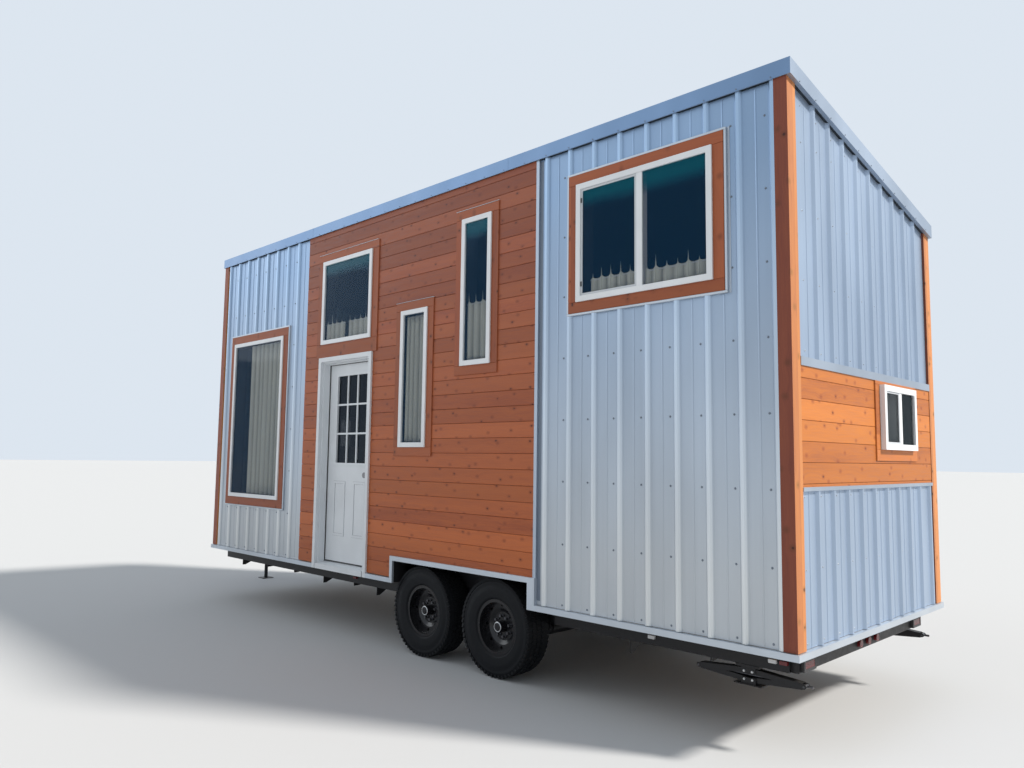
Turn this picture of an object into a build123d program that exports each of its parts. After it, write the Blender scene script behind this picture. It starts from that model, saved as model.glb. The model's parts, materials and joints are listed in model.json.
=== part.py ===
"""Tiny house on wheels: a shed-roofed house of one room on a tandem-axle trailer.

Millimetres. X runs lengthways with the rear wall at +X and the tongue at -X, the entry door is on
the -Y side, and Z is up from the ground. The origin is on the ground, in the middle of the length
from the coupler to the rear window. Places along the house are given as a distance ahead of the
rear wall, because that is how the walls are set out.
"""

from math import asin, cos, degrees, radians, sin
import os

from build123d import *

os.makedirs("parts", exist_ok=True)

# Overall sizes
HOUSE_LENGTH = 7490.0
HOUSE_WIDTH = 2550.0
DECK_UNDERSIDE = 600.0
FLOOR_THICKNESS = 55.0
EAVE_HIGH = 4104.0
EAVE_LOW = 3610.0
TONGUE_REACH = 1350.0
REAR_WINDOW_PROUD = 40.0

# Wall build-up, from the outside in
CLADDING_DEPTH = 22.0
STUD_WALL = 116.0
BOARD_THICKNESS = 18.0
RIB_HEIGHT = 18.0
RIB_TOP = 22.0
RIB_FOOT = 58.0
RIB_PITCH = 228.6
SIDE_RIB_PITCH = 235.0
CLADDING_FOOT = 44.0
ROOF_LAP = 50.0
OUTSIDE = -60.0
THROUGH = 200.0
ROOF_DECK = 80.0
ROOF_SHEET = 4.0
ROOF_SHEET_INSET = 8.0
FASCIA_HEIGHT = 105.0
FASCIA_SIDE = 8.0
FASCIA_END = 28.0
FASCIA_LAP = 3.0
POST_SIDE = 88.0
POST_END = 112.0

# Where the door side changes from steel to boards, as distances ahead of the rear wall
BOARDS_FROM = 2085.0
BOARDS_TO = 5476.0
METAL_TRIM_WIDTH = 31.0
SIDE_RIB_REAR = 100.0
SIDE_RIB_AFTER = 228.0

# Bands of the end walls, as heights above the deck's underside
BAND_BOTTOM = 990.0
BAND_TOP = 1776.0
BAND_FLASHING = 24.0
BAND_CAP = 54.0
BAND_PROUD = 4.0
END_RIB_UPPER = 385.0
END_RIB_LOWER = 338.0

# Windows and doorway on the door side: distance ahead of the rear, height above the deck
HEAD_OF_WALL = EAVE_HIGH - DECK_UNDERSIDE
HEAD_OF_FAR_WALL = EAVE_LOW - DECK_UNDERSIDE
LOFT_WINDOW = (515.0, 1662.0, 2302.0, HEAD_OF_WALL - 307.0)
HIGH_WINDOW = (2584.0, 2951.0, 1918.0, HEAD_OF_WALL - 310.0)
TALL_WINDOW = (3402.0, 3785.0, 1229.0, 2490.0)
DOOR_WINDOW = (4274.0, 5156.0, 2300.0, HEAD_OF_WALL - 321.0)
FRONT_WINDOW = (5947.0, HOUSE_LENGTH - 383.0, 649.0, 2480.0)
FAR_LOFT_WINDOW = (515.0, 1662.0, 1660.0, HEAD_OF_FAR_WALL - 455.0)
END_WINDOW = (1357.0, 2011.0, 1235.0, 1696.0)
SLIDERS = (LOFT_WINDOW, FAR_LOFT_WINDOW)
STILE_WIDTH = 48.0
WINDOW_TRIM = 80.0
FRONT_TRIM = 92.0
FRAME_FACE = 42.0
FRAME_PROUD = 18.0
FRAME_INSIDE = 60.0
TRIM_PROUD = 6.0
GLASS_BEHIND = 14.0
STILE_BEHIND = 6.0
GLASS_THICKNESS = 6.0
DOORWAY = (4241.0, 5181.0)
DOORWAY_TOP = 2159.0
TRIM_OVER_DOOR = 68.0
CASING_WIDTH = 45.0
CASING_LAP = 3.5
JAMB_THICKNESS = 19.0
CASING_PROUD = 16.0
DOOR_THICKNESS = 44.0
DOOR_GAP = 3.0
DOOR_SWING = 95.0
HINGE_RADIUS = 7.0
DOOR_STOP = 12.0
DOOR_LIGHT = (160.0, 680.0, 1072.0, 1962.0)
LITE_FRAME = 24.0
LITE_PROUD = 8.0
MUNTIN = 18.0
DOOR_PANELS = ((134.0, 336.0), (477.0, 679.0))
PANEL_HEIGHTS = (338.0, 885.0)
PANEL_MOULD = 22.0
PANEL_PROUD = 5.0
LATCH_INSET = 70.0
KNOB_HEIGHT = 957.0
BOLT_HEIGHT = 1095.0
KNOB_PROFILE = ((6.0, 33.0), (26.0, 13.0), (30.0, 27.0))
BOLT_PROFILE = ((12.0, 28.0), (6.0, 20.0))
HINGE_LEAF = 22.0
HINGE_PLATE = 2.0
HINGE_HALF = 45.0
SILL_HEIGHT = 66.0
SILL_FRONT = 50.0
SILL_PROUD = 18.0

# Base flashing
FLASHING_HEIGHT = 41.0
FLASHING_PROUD = 15.0
FLASHING_SHEET = 3.0

# Curtains on the door side: window, share of its width from the rear edge, share of its height
CURTAIN_DEPTH = 78.0
CURTAIN_THICKNESS = 44.0
CURTAINS = (
    (LOFT_WINDOW, 1.0, 0.24),
    (HIGH_WINDOW, 1.0, 0.48),
    (TALL_WINDOW, 1.0, 1.0),
    (DOOR_WINDOW, 1.0, 0.30),
    (FRONT_WINDOW, 0.62, 1.0),
)

# Running gear
TYRE_RADIUS = 391.0
TYRE_WIDTH = 235.0
RIM_RADIUS = 203.0
TYRE_CROWN = ((45.0, 9.0), (22.0, 16.0), (8.0, 28.0), (0.0, 44.0))
TYRE_WALL = ((0.0, 34.0), (18.0, 34.0), (33.0, 14.0), (80.0, 0.0))
RIM_FLANGE = 17.0
RIM_LIP = 6.0
RIM_SHEET = 8.0
DISH = ((8.0, 28.0), (60.0, 26.0), (90.0, 8.0))
DISH_BACK = ((8.0, 20.0), (56.0, 12.0), (82.0, 0.0))
HAND_HOLES = 8
HAND_HOLE_RADIUS = 13.0
HAND_HOLE_CENTRE = 34.0
DRUM_WIDTH = 70.0
HUB_BORE = 44.0
HUB_CAP = ((0.0, 84.0), (24.0, 84.0), (30.0, 78.0), (42.0, 74.0))
TYRE_INSET = 50.0
AXLE_REAR = 2550.0
AXLE_SPACING = 922.0
WELL = (2129.0, 3822.0)
WELL_BOX = (2034.0, 3921.0)
WELL_INSET = 331.0
WELL_RIGHT = 75.0
WELL_SIDE = 40.0
WELL_OPENING_TOP = 200.0
WELL_BOX_TOP = 275.0
WELL_SHEET = 6.0
AXLE_INSET = 275.0
AXLE_PLATE = 20.0
SPINDLE_LENGTH = 130.0
SPINDLE_RADIUS = 22.0
SPINDLE_RISE = 100.0
AXLE_TUBE_RADIUS = 44.5
HUB_RADIUS = 45.0
DRUM_RADIUS = 165.0
RUNNING_GAP = 0.3

# Trailer frame
RAIL_INSET = 360.0
RAIL_WIDTH = 50.0
RAIL_DEPTH = 150.0
RAIL_WEB = 8.0
CROSS_DEPTH = 76.0
CROSS_WIDTH = 40.0
CROSS_WEB = 6.0
CROSS_SPACING = 610.0
SIDE_CHANNEL_INSET = 200.0
SIDE_CHANNEL_WIDTH = 40.0
SIDE_CHANNEL_DEPTH = 125.0
BUMPER_INSET = 100.0
BUMPER_DEPTH = 100.0
BUMPER_WIDTH = 50.0
BUMPER_END_INSET = 225.0
BUMPER_CORNER = 8.0
OUTRIGGERS = (
    (690.0, 25.0), (1330.0, 90.0), (4350.0, 75.0), (4740.0, 30.0), (5300.0, 65.0),
    (HOUSE_LENGTH - 1590.0, 25.0), (HOUSE_LENGTH - 990.0, 25.0), (HOUSE_LENGTH - 390.0, 60.0),
)
OUTRIGGER_PLATE = 10.0
TONGUE_BEAM = 75.0
TONGUE_DEPTH = 100.0
HEAD_BEAM = 60.0
COUPLER_LENGTH = 260.0
COUPLER_HALF = 48.0
COUPLER_DEPTH = 80.0
COUPLER_ROUND = 32.0
BEAM_CROSS = 36.0
BALL_RADIUS = 29.4
BALL_DROP = 16.0
JACK_POST_AHEAD = 1000.0
JACK_POST_PLATE = 8.0
JACK_POST_RADIUS = 28.5
JACK_POST_STROKE = 260.0
JACK_POST_HEIGHT = 860.0
JACK_POST_FOOT = 160.0
JACK_POST_FOOT_ROUND = 12.0
JACK_POST_WALL = 5.0
JACK_HEAD_HEIGHT = 62.0
JACK_HEAD_RIM = 9.0
JACK_BRACKET = (220.0, 300.0)
CRANK_SHAFT = (10.0, 60.0)
CRANK_ARM = (170.0, 12.0, 24.0)
SPRING_HALF = 320.0
SPRING_ARCH = 62.0
SPRING_PACK = 30.0
SPRING_EYE = 17.0
SPRING_WIDTH = 45.0
HANGER_PLATE = 6.0
HANGER_TOP = 38.0
LAMP_DEPTH = 20.0
LAMP_SPREAD = 146.0
LAMP_RADIUS = 25.0
SQUARE_LAMP = (30.0, 180.0)
SQUARE_LAMP_HEIGHT = 58.0
MARKERS = (155.0, 226.0, 1110.0, 4668.0)
MARKER_LENGTH = 50.0
MARKER_HEIGHT = 520.0

# Scissor jacks under the rear corners
JACK_CENTRE = 425.0
JACK_INSET = 240.0
JACK_ARM = 330.0
JACK_PIN_SPREAD = 27.5
JACK_FOLDED = 50.0
JACK_PIN_RADIUS = 6.0
JACK_PIN_DROP = 41.0
JACK_SHEET = 3.0
JACK_TOP_WIDTH = 66.0
JACK_UPPER_WIDTH = 56.0
JACK_LOWER_WIDTH = 46.0
JACK_ARM_HALF = 14.0
JACK_WEB_AT = 18.0
JACK_SCREW_RADIUS = 8.0
JACK_SCREW_BACK = -25.0
JACK_SCREW_OUT = 45.0
JACK_TRAY_WEB = 26.0
JACK_TRAY_LIP = 12.0
JACK_TRUNNION_RADIUS = 13.0
JACK_TRUNNION_HALF = 18.0
JACK_PIN_HALF = 31.0
JACK_FOOT_SHEET = 6.0
JACK_FOOT_LENGTH = 190.0
JACK_FOOT_WIDTH = 90.0

# Values worked out from the sizes above
HALF_WIDTH = HOUSE_WIDTH / 2
REAR_X = (HOUSE_LENGTH + TONGUE_REACH + REAR_WINDOW_PROUD) / 2 - REAR_WINDOW_PROUD
FRONT_X = REAR_X - HOUSE_LENGTH
FLOOR_TOP = DECK_UNDERSIDE + FLOOR_THICKNESS
CLADDING_BOTTOM = DECK_UNDERSIDE + CLADDING_FOOT
WALL_OUT = HALF_WIDTH - CLADDING_DEPTH
WALL_IN = WALL_OUT - STUD_WALL
ROOF_SLOPE = (EAVE_HIGH - EAVE_LOW) / HOUSE_WIDTH
FRAME_TOP = DECK_UNDERSIDE
RAIL_BOTTOM = FRAME_TOP - RAIL_DEPTH
AXLES = (AXLE_REAR, AXLE_REAR + AXLE_SPACING)
TYRE_CENTRE_Y = HALF_WIDTH - TYRE_INSET - TYRE_WIDTH / 2
WELL_INNER = HALF_WIDTH - WELL_INSET
AXLE_HALF = HALF_WIDTH - AXLE_INSET
RAIL_OFFSET = HALF_WIDTH - RAIL_INSET
BUMPER_HALF = HALF_WIDTH - BUMPER_END_INSET
JACK_OFFSET = HALF_WIDTH - JACK_INSET


def along(distance):
    """X of a place given as a distance ahead of the rear wall."""
    return REAR_X - distance


def above(height):
    """Z of a place given as a height above the underside of the deck."""
    return DECK_UNDERSIDE + height


def roof_under(y):
    """Z of the underside of the roof deck, which falls from the door side to the far side."""
    return EAVE_HIGH - ROOF_SLOPE * (y + HALF_WIDTH)


def block(x0, x1, y0, y1, z0, z1, mode=Mode.ADD):
    """A square-edged piece between two corners."""
    with Locations(((x0 + x1) / 2, (y0 + y1) / 2, (z0 + z1) / 2)):
        Box(abs(x1 - x0), abs(y1 - y0), abs(z1 - z0), mode=mode)


def side_block(side, d0, d1, depth0, depth1, z0, z1, mode=Mode.ADD):
    """A piece in a long wall: side -1 is the door side, depth counts inwards from the post face."""
    block(along(d0), along(d1), side * (HALF_WIDTH - depth0), side * (HALF_WIDTH - depth1), z0, z1, mode)


def end_block(end, y0, y1, depth0, depth1, z0, z1, mode=Mode.ADD):
    """A piece in an end wall: end +1 is the rear, depth counts inwards from the post face."""
    middle = (REAR_X + FRONT_X) / 2
    reach = HOUSE_LENGTH / 2
    block(middle + end * (reach - depth0), middle + end * (reach - depth1), y0, y1, z0, z1, mode)


def opening(side, window, grow=0.0):
    """Cuts a window's or doorway's hole through a long wall."""
    d0, d1, h0, h1 = window
    side_block(side, d0 - grow, d1 + grow, OUTSIDE, THROUGH, above(h0) - grow, above(h1) + grow, Mode.SUBTRACT)


def end_opening(end, window, grow=0.0):
    """Cuts a window's hole through an end wall."""
    y0, y1, h0, h1 = window
    end_block(
        end, y0 - HALF_WIDTH - grow, y1 - HALF_WIDTH + grow, OUTSIDE, THROUGH, above(h0) - grow,
        above(h1) + grow, Mode.SUBTRACT,
    )


def save(piece, name):
    """Labels a finished piece and writes it to its own file."""
    piece.part.label = name
    export_step(piece.part, f"parts/{name}.step")


DOOR_SIDE_WINDOWS = (LOFT_WINDOW, HIGH_WINDOW, TALL_WINDOW, DOOR_WINDOW, FRONT_WINDOW)
FAR_SIDE_WINDOWS = (FAR_LOFT_WINDOW, FRONT_WINDOW)
SIDE_WINDOWS = [(-1, w) for w in DOOR_SIDE_WINDOWS] + [(1, w) for w in FAR_SIDE_WINDOWS]
ENDS = (1, -1)


def trim_of(window):
    """Width of the board trim round a window."""
    return FRONT_TRIM if window == FRONT_WINDOW else WINDOW_TRIM


# Trailer frame: two main rails of channel
with BuildPart() as frame_rails:
    for side in (-1, 1):
        with BuildSketch(Plane.YZ.offset(FRONT_X)):
            with BuildLine():
                outer = side * (RAIL_OFFSET + RAIL_WIDTH / 2)
                inner = side * (RAIL_OFFSET - RAIL_WIDTH / 2)
                web = outer - side * RAIL_WEB
                Polyline(
                    (outer, RAIL_BOTTOM), (inner, RAIL_BOTTOM), (inner, RAIL_BOTTOM + RAIL_WEB),
                    (web, RAIL_BOTTOM + RAIL_WEB), (web, FRAME_TOP - RAIL_WEB), (inner, FRAME_TOP - RAIL_WEB),
                    (inner, FRAME_TOP), (outer, FRAME_TOP), close=True,
                )
            make_face()
        extrude(amount=HOUSE_LENGTH - BUMPER_INSET - BUMPER_WIDTH)
save(frame_rails, "frame_rails")

# Crossmembers of light channel between the rails
with BuildPart() as crossmembers:
    count = int((HOUSE_LENGTH - BUMPER_INSET - BUMPER_WIDTH - 2 * CROSS_WIDTH) // CROSS_SPACING) + 1
    reach = RAIL_OFFSET - RAIL_WIDTH / 2
    for n in range(count):
        x0 = FRONT_X + CROSS_WIDTH + n * CROSS_SPACING
        with BuildSketch(Plane.XZ.offset(-reach)):
            with BuildLine():
                Polyline(
                    (x0, FRAME_TOP), (x0 + CROSS_WIDTH, FRAME_TOP), (x0 + CROSS_WIDTH, FRAME_TOP - CROSS_WEB),
                    (x0 + CROSS_WEB, FRAME_TOP - CROSS_WEB), (x0 + CROSS_WEB, FRAME_TOP - CROSS_DEPTH + CROSS_WEB),
                    (x0 + CROSS_WIDTH, FRAME_TOP - CROSS_DEPTH + CROSS_WEB),
                    (x0 + CROSS_WIDTH, FRAME_TOP - CROSS_DEPTH), (x0, FRAME_TOP - CROSS_DEPTH), close=True,
                )
            make_face()
        extrude(amount=2 * reach)
save(crossmembers, "crossmembers")

# Side channels at the edges of the deck, with outrigger plates back to the main rails
with BuildPart() as side_channels:
    outer = HALF_WIDTH - SIDE_CHANNEL_INSET
    inner = outer - SIDE_CHANNEL_WIDTH
    rail_face = RAIL_OFFSET + RAIL_WIDTH / 2
    bottom = FRAME_TOP - SIDE_CHANNEL_DEPTH
    runs = ((BUMPER_INSET + BUMPER_WIDTH, WELL_BOX[0]), (WELL_BOX[1], HOUSE_LENGTH))
    for side in (-1, 1):
        for start, stop in runs:
            with BuildSketch(Plane.YZ.offset(along(stop))):
                with BuildLine():
                    Polyline(
                        (side * outer, bottom), (side * inner, bottom), (side * inner, bottom + CROSS_WEB),
                        (side * (outer - CROSS_WEB), bottom + CROSS_WEB),
                        (side * (outer - CROSS_WEB), FRAME_TOP - CROSS_WEB),
                        (side * inner, FRAME_TOP - CROSS_WEB), (side * inner, FRAME_TOP),
                        (side * outer, FRAME_TOP), close=True,
                    )
                make_face()
            extrude(amount=stop - start)
        for place, drop in OUTRIGGERS:
            with BuildSketch(Plane.YZ.offset(along(place))):
                with BuildLine():
                    Polyline(
                        (side * rail_face, FRAME_TOP), (side * (outer - CROSS_WEB), FRAME_TOP),
                        (side * (outer - CROSS_WEB), bottom - drop), (side * inner, bottom - drop),
                        (side * rail_face, RAIL_BOTTOM + RAIL_WEB), close=True,
                    )
                make_face()
            extrude(amount=OUTRIGGER_PLATE)
save(side_channels, "side_channels")

# Rear bumper beam, set in from the wall above it
with BuildPart() as rear_bumper:
    top = FRAME_TOP - BUMPER_DEPTH / 4
    block(
        along(BUMPER_INSET + BUMPER_WIDTH), along(BUMPER_INSET), -BUMPER_HALF, BUMPER_HALF,
        top - BUMPER_DEPTH, top,
    )
    fillet(rear_bumper.edges().filter_by(Axis.Y), radius=BUMPER_CORNER)
save(rear_bumper, "rear_bumper")

# A-frame tongue: a head beam, two beams that meet ahead of it and the coupler with its ball socket
with BuildPart() as tongue_frame:
    beam_bottom = FRAME_TOP - SIDE_CHANNEL_DEPTH
    nose = FRONT_X - TONGUE_REACH + COUPLER_LENGTH
    block(FRONT_X - HEAD_BEAM, FRONT_X, -rail_face, rail_face, beam_bottom, FRAME_TOP)
    for side in (-1, 1):
        with BuildSketch(Plane.XY.offset(beam_bottom)):
            with BuildLine():
                Polyline(
                    (FRONT_X - HEAD_BEAM, side * rail_face),
                    (FRONT_X - HEAD_BEAM, side * (rail_face - 1.4 * TONGUE_BEAM)),
                    (nose, -side * BEAM_CROSS), (nose, side * BEAM_CROSS), close=True,
                )
            make_face()
        extrude(amount=TONGUE_DEPTH)
    with BuildSketch(Plane.XY.offset(beam_bottom)):
        with Locations((FRONT_X - TONGUE_REACH + COUPLER_LENGTH / 2, 0)):
            RectangleRounded(COUPLER_LENGTH, 2 * COUPLER_HALF, COUPLER_ROUND)
    extrude(amount=COUPLER_DEPTH)
    with Locations((FRONT_X - TONGUE_REACH + COUPLER_HALF, 0, beam_bottom + BALL_DROP)):
        Sphere(radius=BALL_RADIUS, mode=Mode.SUBTRACT)
save(tongue_frame, "tongue_frame")

# Tongue jack: a plate on the A-frame, the post through it, its foot on the ground and its crank
with BuildPart() as tongue_jack:
    post_x = FRONT_X - JACK_POST_AHEAD
    plate_bottom = beam_bottom + TONGUE_DEPTH
    head_bottom = JACK_POST_PLATE + JACK_POST_HEIGHT
    crank_z = head_bottom + JACK_HEAD_HEIGHT / 2
    long, wide = JACK_BRACKET
    block(
        post_x - long / 2, post_x + long / 2, -wide / 2, wide / 2, plate_bottom, plate_bottom + JACK_POST_PLATE
    )
    with BuildSketch(Plane.XY):
        with Locations((post_x, 0)):
            RectangleRounded(JACK_POST_FOOT, JACK_POST_FOOT, JACK_POST_FOOT_ROUND)
    extrude(amount=JACK_POST_PLATE)
    for bottom, length, radius in (
        (JACK_POST_PLATE, JACK_POST_STROKE, JACK_POST_RADIUS - JACK_POST_WALL),
        (JACK_POST_PLATE + JACK_POST_STROKE, JACK_POST_HEIGHT - JACK_POST_STROKE, JACK_POST_RADIUS),
        (head_bottom, JACK_HEAD_HEIGHT, JACK_POST_RADIUS + JACK_HEAD_RIM),
    ):
        with BuildSketch(Plane.XY.offset(bottom)):
            with Locations((post_x, 0)):
                Circle(radius)
        extrude(amount=length)
    shaft_radius, shaft_length = CRANK_SHAFT
    with BuildSketch(Plane.XZ.offset(JACK_POST_RADIUS)):
        with Locations((post_x, crank_z)):
            Circle(shaft_radius)
    extrude(amount=shaft_length)
    arm_length, arm_thick, arm_wide = CRANK_ARM
    arm_y = -JACK_POST_RADIUS - shaft_length
    with BuildSketch(Plane.XZ.offset(-arm_y)):
        with Locations((post_x + arm_wide / 2 - arm_length / 2, crank_z)):
            SlotOverall(arm_length, arm_wide)
    extrude(amount=arm_thick)
save(tongue_jack, "tongue_jack")

# Drop axles: a tube, with the spindles raised on end plates
with BuildPart() as axles:
    spindle_z = TYRE_RADIUS
    tube_z = spindle_z - SPINDLE_RISE
    for place in AXLES:
        with BuildSketch(Plane.XZ.offset(-AXLE_HALF)):
            with Locations((along(place), tube_z)):
                Circle(AXLE_TUBE_RADIUS)
        extrude(amount=2 * AXLE_HALF)
        for side in (-1, 1):
            with BuildSketch(Plane.XZ.offset(-side * AXLE_HALF)):
                with Locations((along(place), (tube_z + spindle_z) / 2)):
                    SlotOverall(SPINDLE_RISE + 2 * AXLE_TUBE_RADIUS, 2 * AXLE_TUBE_RADIUS, rotation=90)
            extrude(amount=-side * AXLE_PLATE)
            with BuildSketch(Plane.XZ.offset(-side * (AXLE_HALF + AXLE_PLATE))):
                with Locations((along(place), spindle_z)):
                    Circle(SPINDLE_RADIUS)
            extrude(amount=-side * SPINDLE_LENGTH)
save(axles, "axles")

# Leaf springs with their hangers and the rocking equaliser between the two axles
with BuildPart() as leaf_springs:
    seat_z = tube_z + AXLE_TUBE_RADIUS + RUNNING_GAP
    eye_z = seat_z + SPRING_ARCH
    middle = along((AXLES[0] + AXLES[1]) / 2)
    for side in (-1, 1):
        near = side * (RAIL_OFFSET - SPRING_WIDTH / 2)
        for place in AXLES:
            x = along(place)
            with BuildSketch(Plane.XZ.offset(-side * (RAIL_OFFSET - SPRING_WIDTH / 2))):
                with BuildLine():
                    low = ThreePointArc((x - SPRING_HALF, eye_z - 8), (x, seat_z), (x + SPRING_HALF, eye_z - 8))
                    rise = Line(low @ 1, (x + SPRING_HALF, eye_z + 8))
                    high = ThreePointArc(rise @ 1, (x, seat_z + SPRING_PACK), (x - SPRING_HALF, eye_z + 8))
                    Line(high @ 1, low @ 0)
                make_face()
                with Locations((x - SPRING_HALF, eye_z), (x + SPRING_HALF, eye_z)):
                    Circle(SPRING_EYE)
            extrude(amount=-side * SPRING_WIDTH)
        ears = (-side * (RAIL_OFFSET - SPRING_WIDTH / 2 - HANGER_PLATE), -side * (RAIL_OFFSET + SPRING_WIDTH / 2))
        ends = (along(AXLES[1]) - SPRING_HALF, middle, along(AXLES[0]) + SPRING_HALF)
        for offset in ears:
            with BuildSketch(Plane.XZ.offset(offset)):
                for x in ends:
                    with BuildLine():
                        Polyline(
                            (x - HANGER_TOP, RAIL_BOTTOM), (x + HANGER_TOP, RAIL_BOTTOM),
                            (x + SPRING_EYE + 4, eye_z - 20), (x - SPRING_EYE - 4, eye_z - 20), close=True,
                        )
                    make_face()
            extrude(amount=-side * HANGER_PLATE)
        with BuildSketch(Plane.XZ.offset(-side * (RAIL_OFFSET - SPRING_WIDTH / 2))):
            with BuildLine():
                half_gap = AXLE_SPACING / 2 - SPRING_HALF
                Polyline(
                    (middle - half_gap, eye_z - SPRING_EYE), (middle + half_gap, eye_z - SPRING_EYE),
                    (middle + half_gap, eye_z + SPRING_EYE), (middle + SPRING_EYE, eye_z + 2 * SPRING_EYE),
                    (middle - SPRING_EYE, eye_z + 2 * SPRING_EYE), (middle - half_gap, eye_z + SPRING_EYE),
                    close=True,
                )
            make_face()
        extrude(amount=-side * SPRING_WIDTH)
save(leaf_springs, "leaf_springs")

# Sheet steel boxes over the wheels, inside the room
with BuildPart() as wheel_wells:
    box_top = above(WELL_BOX_TOP)
    for side in (-1, 1):
        side_block(
            side, WELL_BOX[0], WELL_BOX[1], HALF_WIDTH - WALL_IN, HALF_WIDTH - WELL_INNER, DECK_UNDERSIDE, box_top
        )
        side_block(
            side, WELL_BOX[0] + WELL_SHEET, WELL_BOX[1] - WELL_SHEET, HALF_WIDTH - WALL_IN,
            HALF_WIDTH - WELL_INNER - WELL_SHEET, DECK_UNDERSIDE, box_top - WELL_SHEET, Mode.SUBTRACT,
        )
save(wheel_wells, "wheel_wells")

# Lights: two square tail lights, three round ones between them, and markers along the sides
with BuildPart() as lights:
    face = along(BUMPER_INSET)
    lamp_z = FRAME_TOP - BUMPER_DEPTH * 0.8
    for side in (-1, 1):
        block(
            face, face + LAMP_DEPTH, side * (BUMPER_HALF - SQUARE_LAMP[0]), side * (BUMPER_HALF - SQUARE_LAMP[1]),
            lamp_z - SQUARE_LAMP_HEIGHT / 2, lamp_z + SQUARE_LAMP_HEIGHT / 2,
        )
        for place in MARKERS:
            side_block(
                side, place, place + MARKER_LENGTH, SIDE_CHANNEL_INSET - LAMP_DEPTH, SIDE_CHANNEL_INSET,
                MARKER_HEIGHT, MARKER_HEIGHT + 22,
            )
    with BuildSketch(Plane.YZ.offset(face)):
        with Locations(*[(spread, lamp_z) for spread in (-LAMP_SPREAD, 0, LAMP_SPREAD)]):
            Circle(LAMP_RADIUS)
    extrude(amount=LAMP_DEPTH)
save(lights, "lights")

# Floor deck, notched for the wheels
with BuildPart() as floor_deck:
    side_block(-1, CLADDING_DEPTH, HOUSE_LENGTH - CLADDING_DEPTH, CLADDING_DEPTH, HOUSE_WIDTH - CLADDING_DEPTH,
               DECK_UNDERSIDE, FLOOR_TOP)
    for side in (-1, 1):
        side_block(side, WELL[0], WELL[1], 0, HALF_WIDTH - WALL_IN, 0, FLOOR_TOP, Mode.SUBTRACT)
        side_block(
            side, WELL_BOX[0], WELL_BOX[1], HALF_WIDTH - WALL_IN, HALF_WIDTH - WELL_INNER, 0, FLOOR_TOP,
            Mode.SUBTRACT,
        )
save(floor_deck, "floor_deck")


def cut_above_roof(lift=0.0):
    """Cuts off everything above the underside of the roof."""
    edge = HALF_WIDTH - 2 * OUTSIDE
    with BuildSketch(Plane.YZ.offset(FRONT_X + 2 * OUTSIDE)) as profile:
        with BuildLine():
            Polyline(
                (-edge, roof_under(-edge) - lift), (edge, roof_under(edge) - lift), (edge, 2 * EAVE_HIGH),
                (-edge, 2 * EAVE_HIGH), close=True,
            )
        make_face()
    extrude(profile.sketch, amount=HOUSE_LENGTH - 4 * OUTSIDE, mode=Mode.SUBTRACT)


def long_wall(side, start, stop, bottom):
    """A stretch of framed wall on a long side, up to the roof."""
    side_block(side, start, stop, CLADDING_DEPTH, CLADDING_DEPTH + STUD_WALL, bottom, EAVE_HIGH + ROOF_LAP)
    cut_above_roof()


def wheel_notch(side):
    """Cuts the wheels' opening out of the foot of a long wall."""
    side_block(side, WELL[0], WELL[1], OUTSIDE, THROUGH, 0, above(WELL_OPENING_TOP), Mode.SUBTRACT)


# Framed walls, split beside and over the doorway and over the wheels on the door side
ROUGH = (DOORWAY[0] + CASING_WIDTH - CASING_LAP, DOORWAY[1] - CASING_WIDTH + CASING_LAP)
ROUGH_TOP = DOORWAY_TOP - CASING_WIDTH + CASING_LAP
for name, stretches, bottom in (
    ("wall_door_side_front", ((ROUGH[1], HOUSE_LENGTH - CLADDING_DEPTH),), FLOOR_TOP),
    ("wall_over_door", (ROUGH,), above(ROUGH_TOP)),
    ("wall_over_wheels", (WELL,), above(WELL_OPENING_TOP)),
    ("wall_door_side_rear", ((CLADDING_DEPTH, WELL[0]), (WELL[1], ROUGH[0])), FLOOR_TOP),
):
    with BuildPart() as door_side_wall:
        for start, stop in stretches:
            long_wall(-1, start, stop, bottom)
        for window in DOOR_SIDE_WINDOWS:
            opening(-1, window)
    save(door_side_wall, name)

with BuildPart() as wall_far_side:
    long_wall(1, CLADDING_DEPTH, HOUSE_LENGTH - CLADDING_DEPTH, FLOOR_TOP)
    for window in FAR_SIDE_WINDOWS:
        opening(1, window)
    wheel_notch(1)
save(wall_far_side, "wall_far_side")

for end, name in ((1, "wall_rear_end"), (-1, "wall_tongue_end")):
    with BuildPart() as end_wall:
        end_block(end, -WALL_IN, WALL_IN, CLADDING_DEPTH, CLADDING_DEPTH + STUD_WALL, FLOOR_TOP, EAVE_HIGH)
        cut_above_roof()
        end_opening(end, END_WINDOW)
    save(end_wall, name)

# Roof deck
with BuildPart() as roof_deck:
    with BuildSketch(Plane.YZ.offset(FRONT_X)):
        with BuildLine():
            Polyline(
                (-HALF_WIDTH, EAVE_HIGH), (HALF_WIDTH, EAVE_LOW), (HALF_WIDTH, EAVE_LOW + ROOF_DECK),
                (-HALF_WIDTH, EAVE_HIGH + ROOF_DECK), close=True,
            )
        make_face()
    extrude(amount=HOUSE_LENGTH)
save(roof_deck, "roof_deck")


def rib_rise(offset):
    """How high a rib stands at a distance from its middle, as a share of its full height."""
    return min(1.0, max(0.0, (RIB_FOOT - 2 * abs(offset)) / (RIB_FOOT - RIB_TOP)))


def rib_line(first, last, start, pitch, base, rise):
    """Points of a ribbed sheet's outer face from one edge to the other: (distance, height) pairs."""
    centres = [start + n * pitch for n in range(int((last - start) // pitch) + 1)]
    bends = [c + bend / 2 for c in centres for bend in (-RIB_FOOT, -RIB_TOP, RIB_TOP, RIB_FOOT)]
    places = [first] + [d for d in bends if first < d < last] + [last]
    return [(d, base + rise * max(rib_rise(d - c) for c in centres)) for d in places]


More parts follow.
